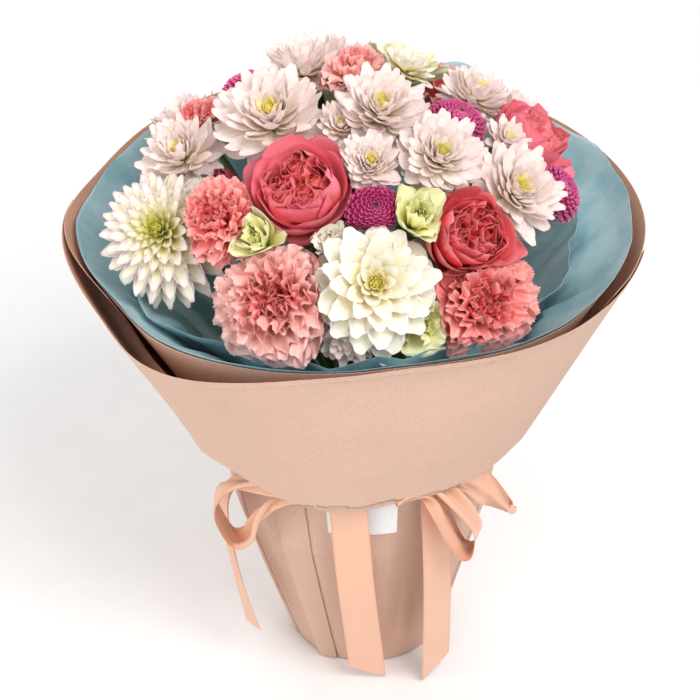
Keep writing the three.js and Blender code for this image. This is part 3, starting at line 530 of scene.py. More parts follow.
# Rows of petals for each kind of head, as whorl() takes them, from the outermost in
WHORLS = {
    "mum": [
        dict(count=96, grid=(8, 7), reach=(0.14, 0.14, 0.12, 0.07), height=(0.2, 0.36, 0.54, 0.7),
             length=(0.92, 0.88, 0.66, 0.27), width=(0.36, 0.35, 0.28, 0.16),
             rise=((-6, 14, 40, 62), (2, 46, 78, 88)), cup=(36, 42, 54, 66),
             outline=(0.3, 0.64, 0.58), rounded=0.23, notch=0.02, jitter=1.9, twist=14,
             turn_jitter=9),
        HEART,
    ],
    "dahlia": [
        dict(count=118, grid=(9, 7), reach=(0.26, 0.26, 0.2, 0.05), height=(0.14, 0.38, 0.6, 0.78),
             length=(0.82, 0.76, 0.54, 0.16), width=(0.33, 0.32, 0.25, 0.09),
             rise=((-12, 12, 38, 62), (-34, 8, 42, 80)), cup=(58, 64, 76, 88), opening=0.45,
             outline=(0.46, 0.66, 0.5), rounded=0.4, jitter=0.5, twist=5, turn_jitter=2),
        HEART,
    ],
    "dahlia_broad": [
        dict(count=64, grid=(9, 9), reach=(0.18, 0.18, 0.14, 0.05), height=(0.1, 0.34, 0.54, 0.76),
             length=(0.88, 0.8, 0.56, 0.16), width=(0.5, 0.48, 0.36, 0.13),
             rise=((-10, 8, 30, 58), (-22, 20, 52, 92)), cup=(40, 44, 58, 84), opening=0.3,
             outline=(0.42, 0.64, 0.6), rounded=0.4, jitter=1.0, twist=12, turn_jitter=6),
        HEART,
    ],
    "carnation": [
        dict(count=46, grid=(9, 37), reach=(0.06, 0.05, 0.03), height=(0.1, 0.1, 0.12),
             length=(1.1, 1.12, 1.06, 0.96), width=(1.08, 1.0, 0.8, 0.5),
             rise=((34, 60, 82, 90), (-24, 22, 62, 86)), cup=(12, 18, 28), outline=(0.14, 0.82, 0.94),
             rounded=0.16, twist=20, turn_jitter=14, **FRILLY),
    ],
    "rose": [
        dict(count=26, grid=(11, 11), reach=(0.16, 0.14, 0.12), height=(0.04, 0.05, 0.08),
             length=(1.28, 1.24, 1.14, 1.04), width=(1.2, 1.12, 1.0, 0.86),
             rise=((0, 20, 36, 48), (58, 96, 112, 114)), cup=(44, 52, 58), opening=0.05,
             outline=(0.45, 0.6, 0.84), rounded=0.13, roll=0.05, ruffle=(1.5, 0.015, 0.015),
             jitter=0.35, rows=(0.0, 0.45)),
        *[dict(count=13, grid=(7, 11), reach=(0.34 - 0.03 * k, 0.04), height=(0.3,),
               length=(0.84 - 0.02 * k, 0.76, 0.64), width=(0.78 - 0.05 * k, 0.28),
               rise=((80, 90), (106, 96)), cup=(60, 88), opening=0.0, outline=(0.6, 0.7, 0.86),
               rounded=0.08, ruffle=(2.0, 0.035, 0.05), twist=16, turn_jitter=38, thickness=0.22,
               jitter=1.1, centre=(0.3 + 0.05 * (k % 2), 2 * np.pi * k / 5 + 0.24 * (k % 3)),
               turn_start=1.3 * k, rows=(0.55, 0.95)) for k in range(5)],
        dict(count=14, grid=(7, 7), reach=(0.16, 0.02), height=(0.34,), length=(0.72, 0.58),
             width=(0.36, 0.14), rise=((84, 90), (98, 90)), cup=(70,), ruffle=(2, 0.03, 0.03),
             outline=(0.6, 0.7, 0.7), rounded=0.12, rows=(0.8, 1.0)),
    ],
    "bud": [
        dict(count=10, grid=(9, 7), reach=(0.12, 0.04), height=(0.02, 0.05), length=(2.15, 2.0),
             width=(1.5, 1.1), rise=((58, 76), (112, 104)), cup=(62,), opening=0.1,
             outline=(0.5, 0.45, 0.3), rounded=0.3, jitter=0.5),
    ],
    "pompon": [
        dict(count=250, grid=(6, 7), reach=(0.66, 0.82, 0.72, 0.44, 0.06),
             height=(0.2, 0.42, 0.68, 0.86, 0.9), length=(0.17, 0.18, 0.17, 0.15, 0.1),
             width=(0.32, 0.31, 0.27, 0.2, 0.12), rise=((-50, -10, 26, 56, 84), (10, 50, 80, 100, 110)),
             cup=(88,), opening=0.0, outline=(0.55, 0.5, 0.85), rounded=0.12, jitter=0.7,
             thickness=0.2),
    ],
    "lisianthus": [
        dict(count=15, grid=(9, 13), reach=(0.05, 0.04), height=(0.04, 0.06),
             length=(1.5, 1.42, 1.2), width=(1.3, 1.15, 0.75), rise=((46, 64, 84), (16, 58, 92)),
             cup=(26, 36, 46), outline=(0.2, 0.72, 0.78), rounded=0.22, ruffle=(3.4, 0.06, 0.08),
             twist=20, turn_jitter=12, rows=(0.0, 0.85)),
        dict(count=9, grid=(7, 7), reach=(0.12, 0.03), height=(0.5,), length=(0.62, 0.5),
             width=(0.5, 0.3), rise=((64, 84), (98, 100)), cup=(50,), outline=(0.4, 0.6, 0.6),
             ruffle=(2.4, 0.04, 0.04), rows=(0.85, 1.0)),
    ],
}
# How much fuller a head's petals are drawn than its solid, so that heads press on each other
FULLNESS = {"mum": 1.14, "dahlia": 1.16, "dahlia_broad": 1.1, "carnation": 1.1, "rose": 1.08,
            "pompon": 1.1, "lisianthus": 1.16, "bud": 1.0}
SEPALS = dict(count=9, grid=(6, 5), reach=(0.08,), height=(0.0, 0.04), length=(0.42, 0.36),
              width=(0.2,), rise=((2, 8), (-24, -14)), cup=(30,), outline=(0.7, 0.3, 0.12), look=1)
# A head's calyx as shares of its radius and depth, and the core that a pompon's florets stand on
CALYX_GIRTH = {"mum": 0.15, "rose": 0.22, "carnation": 0.16, "lisianthus": 0.16, "bud": 0.4}
CALYX_DEPTH = {"rose": 0.4, "dahlia": 0.66, "mum": 0.5}
POMPON_CORE = [(0.56, 0.16), (0.8, 0.42), (0.7, 0.68), (0.42, 0.84), (0.1, 0.9)]
SMALL_RADIUS = 20  # heads smaller than this have fewer petals
SMALL_SHARE = 0.72
FRONT = np.array([0.0, -0.81, 0.59])  # towards the camera
NOD = {"mum": 0.5, "dahlia": 1.0, "dahlia_broad": 0.3, "carnation": 0.2, "rose": 0.25}


def facing(head):
    """Where a head's face looks: heads that look forward at all nod a little to the front."""
    share = NOD.get(head.kind, 0) * smooth(head.axis @ FRONT, 0.2, 0.6)
    return unit(head.axis + FRONT * share)


def make_bloom(head, looks):
    """A head's petals, calyx and sepals on its own axis, then bent clear of its neighbours."""
    draw = np.random.default_rng(head.seed)
    heart = np.array([0, 0, head.depth * 0.55])
    face = turned_to(facing(head)).T
    upright = turned_to(head.axis).T
    parts = []
    for row in WHORLS[head.kind]:
        row = dict(row)
        if head.radius < SMALL_RADIUS:
            row["count"] = int(row["count"] * SMALL_SHARE)
        petals = whorl(head.radius * FULLNESS[head.kind], head.depth, draw, **row)
        petals.points = ((petals.points - heart) @ face) @ upright.T + heart
        parts.append(petals)
    foot = [(STEM_RADIUS, 0), (STEM_RADIUS + 1, 1)]
    if head.kind == "pompon":
        core = [(radius * head.radius, height * head.depth) for radius, height in POMPON_CORE]
        parts.append(revolved(foot + core, 24, look=0))
    else:
        girth = CALYX_GIRTH.get(head.kind, 0.26) * head.radius
        deep = CALYX_DEPTH.get(head.kind, 0.42) * head.depth
        calyx = [(girth, head.depth * 0.14), (girth * 1.1, deep * 0.5), (girth * 0.8, deep * 0.85),
                 (girth * 0.3, deep)]
        parts.append(revolved(foot + calyx, 14))
    parts.append(whorl(head.radius, head.depth, draw, **SEPALS))
    for p in parts:
        p.points = p.points @ upright + head.base
        low = (p.points - head.base) @ head.axis < 1.5
        bent = bent_clear(p.points.copy(), head)
        p.points = np.where(low[:, None], p.points, bent)
    return make_piece(head.name + "_head", parts, looks, [head.name], sharp=70)


# ------------------------------------------------------------------ stems and leaves
BY_SPREAD = sorted(HEADS, key=lambda head: head.reach)
TWIST = 28  # degrees that a stem turns from its head to the binding, and again to the foot
STRAIGHT, BENT = 9, 22  # points on a stem's straight foot and on its curve
BELOW = 6  # a stem's line is drawn from this far below the floor and cut off at it


def stem_path(head):
    """A stem: straight from the foot to the binding, then one cubic curve up to the calyx."""
    share = np.sqrt((BY_SPREAD.index(head) + 0.5) / len(HEADS))
    foot = around(head.bearing - 2 * TWIST, STEM_FOOT_RADIUS * share, -BELOW)
    binding = around(head.bearing - TWIST, BINDING_RADIUS * share, BINDING_HEIGHT)
    foot = foot + (binding - foot) * (BELOW / (BINDING_HEIGHT + BELOW))
    handle = (binding - foot) * 0.45
    control = [binding, binding + handle, head.base - head.axis * 60, head.base]
    t = np.linspace(0, 1, BENT)[:, None]
    curve = ((1 - t) ** 3 * control[0] + 3 * t * (1 - t) ** 2 * control[1]
             + 3 * t ** 2 * (1 - t) * control[2] + t ** 3 * control[3])
    line = foot + (binding - foot) * np.linspace(0, 1, STRAIGHT)[:-1, None]
    return np.concatenate([line, curve])


# The stem that a leaf grows from, how far up its curve, its length, width and turn
LEAVES = [
    ("rose_bud", 0.72, 34, 17, 0), ("rose_bud", 0.86, 30, 18, 60), ("mum_far_left", 0.72, 34, 16, 0),
    ("carnation_left", 0.72, 32, 15, 0), ("rose_far_right", 0.72, 36, 17, 0),
    ("mum_far_right", 0.72, 34, 16, 0), ("rose_back", 0.72, 36, 17, 0),
    ("dahlia_back", 0.72, 34, 16, 0), ("mum_back_b", 0.72, 34, 16, 0),
    ("mum_back_c", 0.8, 34, 17, 20), ("lisianthus_back", 0.84, 34, 15, -20),
    ("mum_back_a", 0.82, 36, 17, 30), ("mum_top_back", 0.86, 32, 15, -30),
]


def leaf(name, share, length, width, turn, draw):
    """One blade on a stem, cupped along its midrib, with a toothed edge."""
    head = next(h for h in HEADS if h.name == name)
    path = stem_path(head)
    root = path[STRAIGHT - 1 + int(share * (BENT - 1))]
    flat = unit(head.axis * [1, 1, 0])
    spin = np.radians(turn)
    away = np.array([flat[0] * np.cos(spin) - flat[1] * np.sin(spin),
                     flat[0] * np.sin(spin) + flat[1] * np.cos(spin), 0])
    along = unit(away * 0.62 + [0, 0, 0.78])
    side = np.array([-away[1], away[0], 0])
    blade = whorl(1.0, 1.0, draw, count=1, grid=(17, 9), reach=(0,), height=(0,), length=(length,),
                  width=(width,), rise=((12,), (-26,)), cup=(24,), outline=(0.16, 0.4, 0.04),
                  rounded=0.05, teeth=(4, 0.012), ruffle=(1.0, 0.5, 0.8), turn_step=0,
                  turn_jitter=0, thickness=0.3, jitter=0.5)
    blade.points = blade.points @ np.stack([along, side, np.cross(along, side)]) + root
    return blade


def stem_nodes():
    """All the stems as tubes with small joints, and the leaves that grow from them."""
    draw = np.random.default_rng(7)
    paths = np.stack([stem_path(head) for head in HEADS])
    stations = paths.shape[1]
    along = np.linspace(0, 1, stations)
    radii = STEM_RADIUS * (1.08 - 0.16 * along) * np.ones((len(HEADS), 1))
    joints = draw.uniform(0.4, 0.9, (len(HEADS), 3))
    for k in range(3):
        radii = radii + 0.55 * np.exp(-(((along - joints[:, k:k + 1]) / 0.02) ** 2))
    parts = [tubes(paths, radii, 10)]
    for row in LEAVES:
        blade = leaf(*row, draw)
        blade.look = 1
        parts.append(blade)
    parts.append(heart_of_stems())
    return parts


def heart_of_stems():
    """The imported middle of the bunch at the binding, as a short closed cylinder of ribs."""
    sides = 72
    turn = np.linspace(0, 2 * np.pi, sides, endpoint=False)
    centre = axis_at(BINDING_HEIGHT)
    rings = [(-19.5, 0.8), (-18, 1), (0, 1), (18, 1), (19.5, 0.8)]  # height, share of the width
    ribs = BINDING_RADIUS - 1.8 + 0.8 * np.abs(np.sin(turn * 11))
    ring = np.stack([np.cos(turn), np.sin(turn)], axis=-1) * ribs[:, None]
    points = np.concatenate([np.concatenate(
        [centre + ring * k, np.full((sides, 1), BINDING_HEIGHT + z)], axis=1) for z, k in rings])
    index = np.arange(len(rings) * sides).reshape(len(rings), sides)
    closed = np.concatenate([index, index[:, :1]], axis=1)
    return part(points, [cells(closed)[:, ::-1], index[0, ::-1][None], index[-1][None]])


# ------------------------------------------------------------------ paper and tissue
HEM = 0.7  # the drawn hems stand this far above the floor
# How thick each sheet is drawn
DRAWN_PAPER = 0.45
DRAWN_COLLAR = 0.5
DRAWN_TISSUE = 0.3
DRAWN_BAND = 0.4
DRAWN_RIBBON = 0.4
# The slopes of the cones that the sheets unroll from: radius gained a unit of height
SKIRT_SLOPE = 0.22
STRIP_SLOPE = 0.24
BAND_SLOPE = 0.3
COLLAR_MEAN_SLOPE = 0.45
MOUTH_SLOPE = 0.46
TISSUE_SLOPE = 0.85


def crumple(x, y, seed, sizes):
    """Creased paper: straight-sided waves in many directions, smaller ones shallower."""
    draw = np.random.default_rng(seed)
    total = np.zeros_like(x)
    for size in sizes:
        angle, phase, sway = draw.uniform(0, np.pi), draw.uniform(0, 1), draw.uniform(0, 6)
        along = x * np.cos(angle) + y * np.sin(angle)
        across = y * np.cos(angle) - x * np.sin(angle)
        place = along / size + phase + 0.3 * np.sin(across / (0.8 * size) + sway)
        weight = 0.5 + 0.5 * np.sin(across / (2.1 * size) + 2 * sway)
        total = total + size * 0.5 * (zigzag(place) * weight)
    return total


def unrolled(bearing, radius, slope):
    """Flat coordinates of a cone's surface: distance from its apex, and its share of the turn."""
    sine = slope / np.sqrt(np.square(slope) + 1)
    reach = radius / sine
    turn = np.radians(bearing) * sine
    return reach * np.sin(turn), reach * np.cos(turn)


def sheet_part(bearings, heights, radius_of, thickness, slope):
    """A sheet over bearings (columns) and heights (columns, rows) as a closed thin shell."""
    b = bearings[:, None] + np.zeros_like(heights)
    radius = radius_of(b, heights)
    low = around(b, radius, heights)
    high = around(b, radius + thickness, heights)
    x, y = unrolled(b, radius, np.where(heights < WAIST_HEIGHT, SKIRT_SLOPE, slope))
    data = np.stack([x, y, heights], axis=-1)
    sheet = shell(low, high, data)
    # 1 on the inner face, which the wrapping paper's look paints darker and warmer as shade.
    sheet.place[:low.size // 3, 0] = 1
    return sheet


def between(bearings, low, high, rows):
    """Heights from low to high, one row of them for each bearing."""
    low, high, _ = np.broadcast_arrays(low, high, bearings)
    return low[:, None] + (high - low)[:, None] * np.linspace(0, 1, rows)


def seam(b):
    """Lifts a sheet's far end so that it lies over its start at the back."""
    return 1.1 * smooth(b, 140, 176)


def free(z):
    """1 where the paper may buckle, falling to nothing at the hem, the waist and the mouth."""
    return smooth(np.abs(z - WAIST_HEIGHT), 14, 50) * smooth(z, -5, 60) * smooth(RIM_HEIGHT - z, 0, 25)


def skirt_folds(b, z):
    """Soft folds where the ribbon draws the paper in, deepest half way down the skirt."""
    below = smooth(WAIST_HEIGHT - 10 - z, 0, 60) * smooth(z, 0, 70)
    folds = 1.2 * sine(b * 9 + 30) + 0.9 * sine(b * 14 + z * 0.4)
    clear = 1 - bump(b, BACK[0] + 3, 12) - bump(b, BACK[1] - 3, 12)
    return below * clear * (folds - 4.5 * bump(b, 24, 8) - 3.0 * bump(b, -50, 9))


def inner_sheet():
    """The sheet all the way round, whose ends overlap at the back."""
    bearings = np.linspace(-182, 182, 366)
    heights = between(bearings, HEM, RIM_HEIGHT - 1.0, 90)
    return sheet_part(bearings, heights, lambda b, z: inner_paper(b, z) + 0.2 + seam(b)
                      + np.minimum(skirt_folds(b, z), 0.2), DRAWN_PAPER, MOUTH_SLOPE)


def back_sheet():
    """The sheet round the back: its ends lie in on the inner sheet, the left one at the rim too."""
    bearings = np.linspace(*BACK, 238)
    heights = between(bearings, HEM, rim_height(bearings) + 1.0, 90)

    def radius(b, z):
        inwards = 1 - smooth(b, BACK[0], BACK[0] + 8)
        inwards = inwards + smooth(b, BACK[1] - 8, BACK[1])
        buckle = 1.2 * free(z) * sine(3 * b + 0.6 * z)
        apart = back_paper(b, z) - inner_paper(b, z) - PAPER - 0.4
        closed = apart * 0.85 * smooth(b, BACK[1] - 30, BACK[1] - 4) * smooth(z, 265, 315)
        return back_paper(b, z) + 0.2 + buckle * (1 - inwards) - 0.75 * inwards - closed

    return sheet_part(bearings, heights, radius, DRAWN_PAPER, MOUTH_SLOPE)


def collar_sheet():
    """The flared sheet over the front, with a turned rim."""
    bearings = np.linspace(*COLLAR, 240)
    heights = between(bearings, look_up(COLLAR_FOOT, bearings), rim_height(bearings), 70)

    def radius(b, z):
        below = rim_height(b) - z
        hem = 0.35 * np.exp(-((below - 4.5) / 0.8) ** 2) - 0.25 * smooth(below, 5.2, 6.0)
        dents = 1.4 * sine(2.3 * b + 25) * np.sin((z - 190) / 45)
        return collar_radius(b, z) + 0.3 + hem + dents * smooth(below, 10, 60) * smooth(z, 200, 240)

    return sheet_part(bearings, heights, radius, DRAWN_COLLAR, COLLAR_MEAN_SLOPE)


def flap_sheet():
    """The folded strip down the front of the skirt, lifted along one side."""
    bearings = np.linspace(*FLAP, 22)
    heights = between(bearings, HEM, FLAP_TOP, 70)

    def radius(b, z):
        across = (b - FLAP[0]) / (FLAP[1] - FLAP[0])
        lifted = 2.4 * (1 - across) ** 2 + 1.2 * np.sin(np.pi * across)
        return inner_paper(b, z) + PAPER + 0.7 + lifted * smooth(FLAP_TOP - z, 0, 60)

    return sheet_part(bearings, heights, radius, DRAWN_PAPER, STRIP_SLOPE)


def tissue_top(b):
    return RIM_HEIGHT + 4 + 6 * bump(b, 90, 40) + 12 * bump(b, 158, 8)


def pleats(x, steep):
    """Folds between 0 and 1, one a unit of x: a long slope up and a short one down."""
    along = x - np.floor(x)
    return np.minimum(along / (1 - steep), (1 - along) / steep)


def tissue_outer_sheet():
    bearings = np.linspace(-182, 182, 420)
    ragged = 1.2 * zigzag(bearings / 47) + 0.7 * zigzag(bearings / 19 + 0.3)
    heights = between(bearings, TISSUE_FOOT[1], tissue_top(bearings) + ragged - 3, 110)

    def radius(b, z):
        share = smooth(z, TISSUE_FOOT[1] + 8, 300)
        x, y = unrolled(b, tissue_radius(b, z, *OUTER_TISSUE), TISSUE_SLOPE)
        creases = crumple(x, y, 3, (150, 110, 84, 60, 44, 30, 20, 14)) * 0.045
        folds = 6 * (1 - np.abs(sine(b * 6.5))) ** 1.5 * bump(b, 80, 45)
        folds = folds * (1 - 0.8 * smooth(z, 265, 330))
        near = smooth(z, 304, 332)
        pressed = near * (2.7 + 2.4 * sine(b * 5))
        pleated = 9.0 * pleats(b / 19 + 0.35 * sine(2 * b) + z / 300, 0.3)
        pleated = pleated + 2.2 * pleats(b / 8.4 - z / 210, 0.4)
        drawn_in = share * (1.6 + creases + folds + pleated) * (1 - 0.97 * near)
        return tissue_radius(b, z, *OUTER_TISSUE) + 0.3 + seam(b) * (1 - near) + pressed - drawn_in

    return sheet_part(bearings, heights, radius, DRAWN_TISSUE, TISSUE_SLOPE)


def tissue_inner_sheet():
    bearings = np.linspace(-182, 182, 420)
    waves = 3.4 * sine(5 * bearings) + 2.4 * sine(11 * bearings + 50)
    heights = between(bearings, TISSUE_FOOT[1], RIM_HEIGHT - 9 + waves, 100)

    def radius(b, z):
        share = smooth(z, TISSUE_FOOT[1] + 8, 300)
        x, y = unrolled(b, tissue_radius(b, z, *INNER_TISSUE), TISSUE_SLOPE)
        creases = crumple(x, y, 11, (140, 104, 76, 52, 36, 24, 16)) * 0.05
        folds = 11 * (1 - np.abs(sine(b * 5 + 20 + 0.12 * z))) ** 1.4 * (
            bump(b, 84, 42) + 0.7 * bump(b, -48, 28)) * (1 - 0.5 * smooth(z, 265, 325))
        folds = folds + 12 * bump(b, 88, 34) * smooth(z, 220, 320)
        pleated = 8.0 * pleats(b / 24 + 0.3 + 0.3 * sine(3 * b) - z / 340, 0.34)
        drawn_in = share * (1.2 + creases + folds + pleated)
        return tissue_radius(b, z, *INNER_TISSUE) + 0.2 + seam(b) - drawn_in

    return sheet_part(bearings, heights, radius, DRAWN_TISSUE, TISSUE_SLOPE)


def card_part():
    bearings = np.linspace(*CARD_BEARINGS, 28)
    heights = between(bearings, *CARD_HEIGHTS, 14)
    return sheet_part(bearings, heights, lambda b, z: inner_paper(b, z) + PAPER + 0.75,
                      DRAWN_PAPER, STRIP_SLOPE)


# ------------------------------------------------------------------ ribbon and twine
# Stations of bearing, radius, height and the way the width runs; then how far the end is cut off
RIBBONS = {
    "ribbon_loop_left": ([
        (3.9, 111.6, 195, 0, 0, 0.35), (-10, 115, 200, 0, 0, 0.7), (-28, 121, 202, 0, -0.2, 0.7),
        (-42, 124, 192, 0, -0.7, 0.5), (-50, 124, 172, 0, -1, 0.1), (-52, 121, 153, 0, -1, 0),
        (-48, 116, 136, 0.1, -1, 0), (-41, 115, 146, 0.3, -0.9, 0.2), (-36, 116, 166, 0.2, -0.7, 0.5),
        (-28, 117, 186, 0.1, -0.4, 0.6), (-14, 113, 197, 0, -0.1, 0.7),
        (3.9, 109.8, 196, 0, 0, 0.35)], 0),
    "ribbon_tail_left": ([
        (3.9, 107.4, 195, 0, 0, 0.3), (-12, 108.2, 197, 0, 0, 0.5), (-28, 107.6, 196, 0, 0, 0.5),
        (-45, 108, 184, 0.1, -0.5, 0.6), (-62, 106, 148, 0.3, -0.7, 0), (-60, 103, 95, 0.3, -0.8, 0),
        (-54, 96, 38, 0.5, -0.8, 0)], -8),
    "ribbon_tail_centre": ([
        (3.9, 105, 196, 0, 0, 0.25), (1, 105.4, 197, 0.3, 0, 0.3), (-2.5, 105.4, 197, 0.8, 0, 0.15),
        (-4, 105, 189, 1, -0.14, 0), (-4.1, 104, 176, 1, -0.14, 0), (-2.9, 96, 110, 1, -0.1, 0),
        (0.7, 71, 8, 1, 0, 0)], 13),
    "ribbon_tail_right": ([
        (12.1, 105, 194, 0, 0, 0.25), (17, 105, 195, 0.1, 0.1, 0.3), (23, 105.4, 196, 0.5, 0.3, 0.3),
        (27, 105.5, 190, 0.75, 0.5, 0.1), (27.8, 105, 174, 0.75, 0.6, 0), (31, 97, 100, 0.75, 0.66, 0),
        (35.6, 83.5, 10, 0.75, 0.66, 0)], -14),
    "ribbon_loop_right": ([
        (12.1, 111.4, 192, 0, 0, 0.3), (17, 111.4, 197, 0.12, 0.05, 0.35),
        (23.3, 111.2, 192, 0.44, 0.19, 0), (28, 113, 173, 0.42, 0.85, -0.33),
        (32.6, 113, 150, 0.37, 0.88, -0.31), (37, 112.5, 135, 0.16, 0.98, -0.12),
        (40.1, 115, 135, 0.13, 0.97, -0.21), (40.8, 117.5, 150, 0.22, 0.9, -0.36),
        (37.9, 118, 166, 0.34, 0.88, -0.32), (33.4, 115.5, 182, 0.5, 0.7, -0.3),
        (29, 111.6, 193.5, 0.54, 0.31, 0), (22, 109.8, 196.5, 0.2, 0.09, 0.25),
        (12.1, 109.4, 192, 0, 0, 0.3)], 0),
    "ribbon_loop_far_right": ([
        (12.1, 108.4, 200, 0, 0, 0.25), (28, 109.6, 203, 0, 0, 0.45),
        (39.6, 110.3, 192, 0.16, -0.07, 0.95), (46.1, 112.5, 179, 0.24, 0.18, 0.93),
        (51.6, 115.5, 165, 0.3, -0.37, 0.88), (58.3, 118, 148, 0.05, -0.62, 0.78),
        (57, 111.8, 154, 0.16, -0.49, 0.85), (50, 109, 170, 0.24, -0.15, 0.94),
        (41.1, 108.2, 189, 0.16, -0.1, 0.8), (30, 108.3, 200, 0, 0, 0.35),
        (12.1, 106.8, 200, 0, 0, 0.25)], 0),
}


def run_length(stations, steps=400):
    """How long a ribbon is, along the middle of its width."""
    stations = np.array(stations, float)
    line = catmull_rom(around(stations[:, 0], stations[:, 1], stations[:, 2]), steps)
    return float(np.linalg.norm(np.diff(line, axis=0), axis=1).sum())


def ribbon_part(stations, skew, steps=170, columns=25, waves=1.5):
    """A strip along a smooth line; its width runs along a second smooth line of directions.

    Where the directions are shorter than the full width the ribbon is gathered: it keeps its
    width as cloth by waving in and out, `waves` of them across, so that the waves' length along
    the cross-section makes up for the narrower span.
    """
    stations = np.array(stations, float)
    line = catmull_rom(around(stations[:, 0], stations[:, 1], stations[:, 2]), steps)
    across = catmull_rom(stations[:, 3:], steps)
    tangent = unit(np.gradient(line, axis=0))
    normal = unit(np.cross(tangent, across))
    square = across - tangent * np.sum(across * tangent, axis=1, keepdims=True)
    narrow = np.clip(np.linalg.norm(square, axis=1) / 0.9, 0.25, 1.0)
    v = np.linspace(-0.5, 0.5, columns)
    span = across[:, None] * (v * RIBBON_WIDTH)[:, None]
    cut = skew * v * smooth(np.arange(steps), steps - 8, steps - 1)[:, None]
    wave = narrow * RIBBON_WIDTH * np.sqrt(2 * (1 / narrow ** 2 - 1)) / (2 * np.pi * waves)
    crown = 0.5 * (1 - 4 * v ** 2) + wave[:, None] * np.cos(2 * np.pi * waves * v)
    middle = line[:, None] + span + tangent[:, None] * cut[..., None] + (
        normal[:, None] * crown[..., None])
    lift = normal[:, None] * DRAWN_RIBBON / 2
    run = np.concatenate([[0], np.cumsum(np.linalg.norm(np.diff(line, axis=0), axis=1))])
    flat = np.stack(np.broadcast_arrays(v[None, :] * RIBBON_WIDTH, run[:, None], 0.0), axis=-1)
    return shell(middle - lift, middle + lift, flat)


BAND_REACH = 108  # the band's mean distance from the axis, for its flat coordinates


def band_part():
    """The ribbon round the waist, with fine tension creases and its end lifted over its start."""
    bearings = np.linspace(-180, 181, 362)
    low = WAIST_HEIGHT - RIBBON_WIDTH / 2
    heights = between(bearings, low, low + RIBBON_WIDTH, 15)

    def radius(b, z):
        behind = (wrapped(b) >= BACK[0]) | (wrapped(b) <= BACK[1] - 360)
        paper = np.where(behind, back_paper(b, z), inner_paper(b, z)) + PAPER
        creases = 0.25 * np.sin(np.radians(b * 23) + z) * np.sin((z - low) / RIBBON_WIDTH * np.pi)
        return paper + GAP + 0.3 + creases + 0.5 * smooth(b, 168, 178)

    sheet = sheet_part(bearings, heights, radius, DRAWN_BAND, BAND_SLOPE)
    b = np.radians(bearings)[:, None] + np.zeros_like(heights)
    flat = np.stack([heights - WAIST_HEIGHT, b * BAND_REACH, 0 * b], axis=-1).reshape(-1, 3)
    sheet.petal = np.concatenate([flat, flat])
    return sheet


KNOT_SIZE = np.array([7.0, 4.4, 9.0])  # half of its width, depth and height
KNOT_PLACE = (8, 108.6, WAIST_HEIGHT + 1)


def knot_part():
    """A plump knot: a box with rounded sides, pinched by the ribbon's own folds."""
    u = np.linspace(-np.pi, np.pi, 64, endpoint=False)[:, None]
    v = np.linspace(-np.pi / 2, np.pi / 2, 36)[None, 1:-1]
    power = 0.5

    def rounded(x):
        return np.sign(x) * np.abs(x) ** power

    folds = 1 - 0.09 * np.abs(np.sin(3 * u)) * np.cos(v) - 0.05 * np.sin(5 * v + 2 * u) ** 2
    wide, deep, tall = KNOT_SIZE
    points = np.stack(np.broadcast_arrays(
        wide * rounded(np.cos(v)) * rounded(np.cos(u)) * folds,
        deep * rounded(np.cos(v)) * rounded(np.sin(u)) * folds,
        tall * rounded(np.sin(v)) * (1 - 0.06 * np.cos(u) ** 2)), axis=-1)
    rows, columns = points.shape[:2]
    index = np.arange(rows * columns).reshape(rows, columns)
    closed = np.concatenate([index, index[:1]], axis=0)
    poles = np.array([[0, 0, -tall * 0.98], [0, 0, tall * 0.98]])
    low = np.stack([closed[:-1, 0], np.full(rows, index.size), closed[1:, 0]], axis=-1)
    high = np.stack([closed[:-1, -1], closed[1:, -1], np.full(rows, index.size + 1)], axis=-1)
    points = np.concatenate([points.reshape(-1, 3), poles])
    lean, turn = np.radians(14), np.radians(8)
    tip = np.array([[1, 0, 0], [0, np.cos(lean), -np.sin(lean)], [0, np.sin(lean), np.cos(lean)]])
    spin = np.array([[np.cos(turn), -np.sin(turn), 0], [np.sin(turn), np.cos(turn), 0], [0, 0, 1]])
    place = points @ (spin @ tip).T + around(*KNOT_PLACE)
    petal = np.stack([points[:, 0] * 1.4, points[:, 2] + points[:, 1] * 2, 0 * points[:, 0]], axis=-1)
    return part(place, [cells(closed), low, high], petal)


TWINE_TURNS = 3.6
TWINE_REACH = 21.1  # from the stem axis to the middle of the twine
PLY_RADIUS = 0.42


def twine_part():
    """Two-ply twine wound round the binding."""
    steps = 560
    turn = np.linspace(0, 2 * np.pi * TWINE_TURNS, steps)
    centre = axis_at(BINDING_HEIGHT)
    rise = BINDING_HEIGHT - 2.7 + turn / (2 * np.pi) * 1.5
    path = np.stack([centre[0] + TWINE_REACH * np.cos(turn),
                     centre[1] + TWINE_REACH * np.sin(turn), rise], axis=-1)
    plies = []
    for k in range(2):
        phase = turn * 13 + np.pi * k
        out = np.stack([np.cos(turn), np.sin(turn), 0 * turn], axis=-1)
        up = np.array([0, 0, 1.0])
        plies.append(path + 0.34 * (out * np.cos(phase)[:, None] + up * np.sin(phase)[:, None]))
    return tubes(np.stack(plies), np.full((2, steps), PLY_RADIUS), 6)


